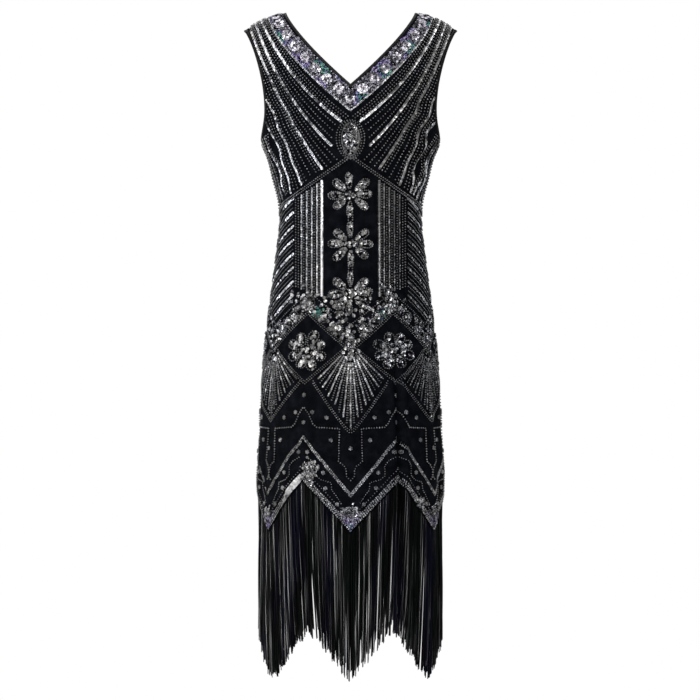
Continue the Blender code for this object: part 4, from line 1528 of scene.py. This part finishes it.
floor_paint = Finish("pale_floor", base_color=(0.86, 0.86, 0.86, 1.0), roughness=0.9,
                     emission_strength=1.0)
seen = floor_paint.node("ShaderNodeLightPath", output="Is Camera Ray")
floor_paint.feed(emission_color=floor_paint.ramp(seen, (0.0, (0.35, 0.35, 0.35)),
                                                 (1.0, (0.80, 0.80, 0.80))))
t = np.arange(FLOOR_SIDES) * 2 * np.pi / FLOOR_SIDES
rim = np.stack([FLOOR_RADIUS * np.cos(t), FLOOR_RADIUS * np.sin(t), 0 * t + FLOOR_LEVEL], -1)
points = np.vstack([rim, [[0, 0, FLOOR_LEVEL]]])
here = np.arange(FLOOR_SIDES)
faces = np.stack([here, (here + 1) % FLOOR_SIDES, np.full(FLOOR_SIDES, FLOOR_SIDES)], -1)
new_object("studio_floor", points, faces, floor_paint.material)

world = bpy.data.worlds.new("white_studio")
bpy.context.scene.world = world
world.use_nodes = True
backdrop = world.node_tree.nodes["Background"]
seen = world.node_tree.nodes.new("ShaderNodeLightPath")
around_it = world.node_tree.nodes.new("ShaderNodeMapRange")
around_it.inputs["To Min"].default_value = 0.04    # what the dress sees round it
world.node_tree.links.new(seen.outputs["Is Camera Ray"], around_it.inputs["Value"])
world.node_tree.links.new(around_it.outputs["Result"], backdrop.inputs["Strength"])
backdrop.inputs["Color"].default_value = WHITE

LIGHT_AIM = Vector((0, 0, -0.55))
# Place, size and watts of each
LIGHTS = [("left_light", (-1.75, -2.8, -0.2), (1.1, 3.6), 50),
          ("left_side_light", (-3.4, -0.2, -0.3), (1.4, 3.0), 44),
          ("right_side_light", (3.3, 0.6, -0.3), (0.9, 2.4), 12),
          ("right_light", (1.3, -2.4, 2.2), (1.0, 1.0), 16),
          ("top_light", (-0.1, -2.2, 2.2), (2.4, 1.2), 34),
          ("overhead_light", (0.0, 0.6, 2.4), (2.4, 2.4), 40),
          ("left_spark", (-0.45, -3.6, 0.45), (0.22, 0.22), 8),
          ("right_spark", (0.75, -3.5, 0.15), (0.22, 0.22), 4),
          ("back_light", (-0.8, 3.4, 0.6), (1.6, 3.0), 40)]
for name, place, size, watts in LIGHTS:
    light = bpy.data.lights.new(name, "AREA")
    light.shape = "RECTANGLE"
    light.size, light.size_y = size
    light.energy = watts
    lamp = bpy.data.objects.new(name, light)
    bpy.context.collection.objects.link(lamp)
    lamp.location = place
    lamp.rotation_euler = (LIGHT_AIM - Vector(place)).to_track_quat("-Z", "Y").to_euler()

VIEW_HEIGHT = 1.197           # of what the camera sees, at the middle of the dress
CAMERA_DISTANCE = 10.0
SENSOR = 36                   # millimetres
camera_data = bpy.data.cameras.new("camera")
camera_data.sensor_width = SENSOR
camera_data.lens = SENSOR * CAMERA_DISTANCE / VIEW_HEIGHT
camera_data.clip_end = 100
camera = bpy.data.objects.new("camera", camera_data)
bpy.context.collection.objects.link(camera)
camera.location = (-0.0009, -CAMERA_DISTANCE, -0.5758)
camera.rotation_euler = (np.pi / 2, 0, 0)
bpy.context.scene.camera = camera
bpy.context.scene.view_settings.view_transform = "Standard"
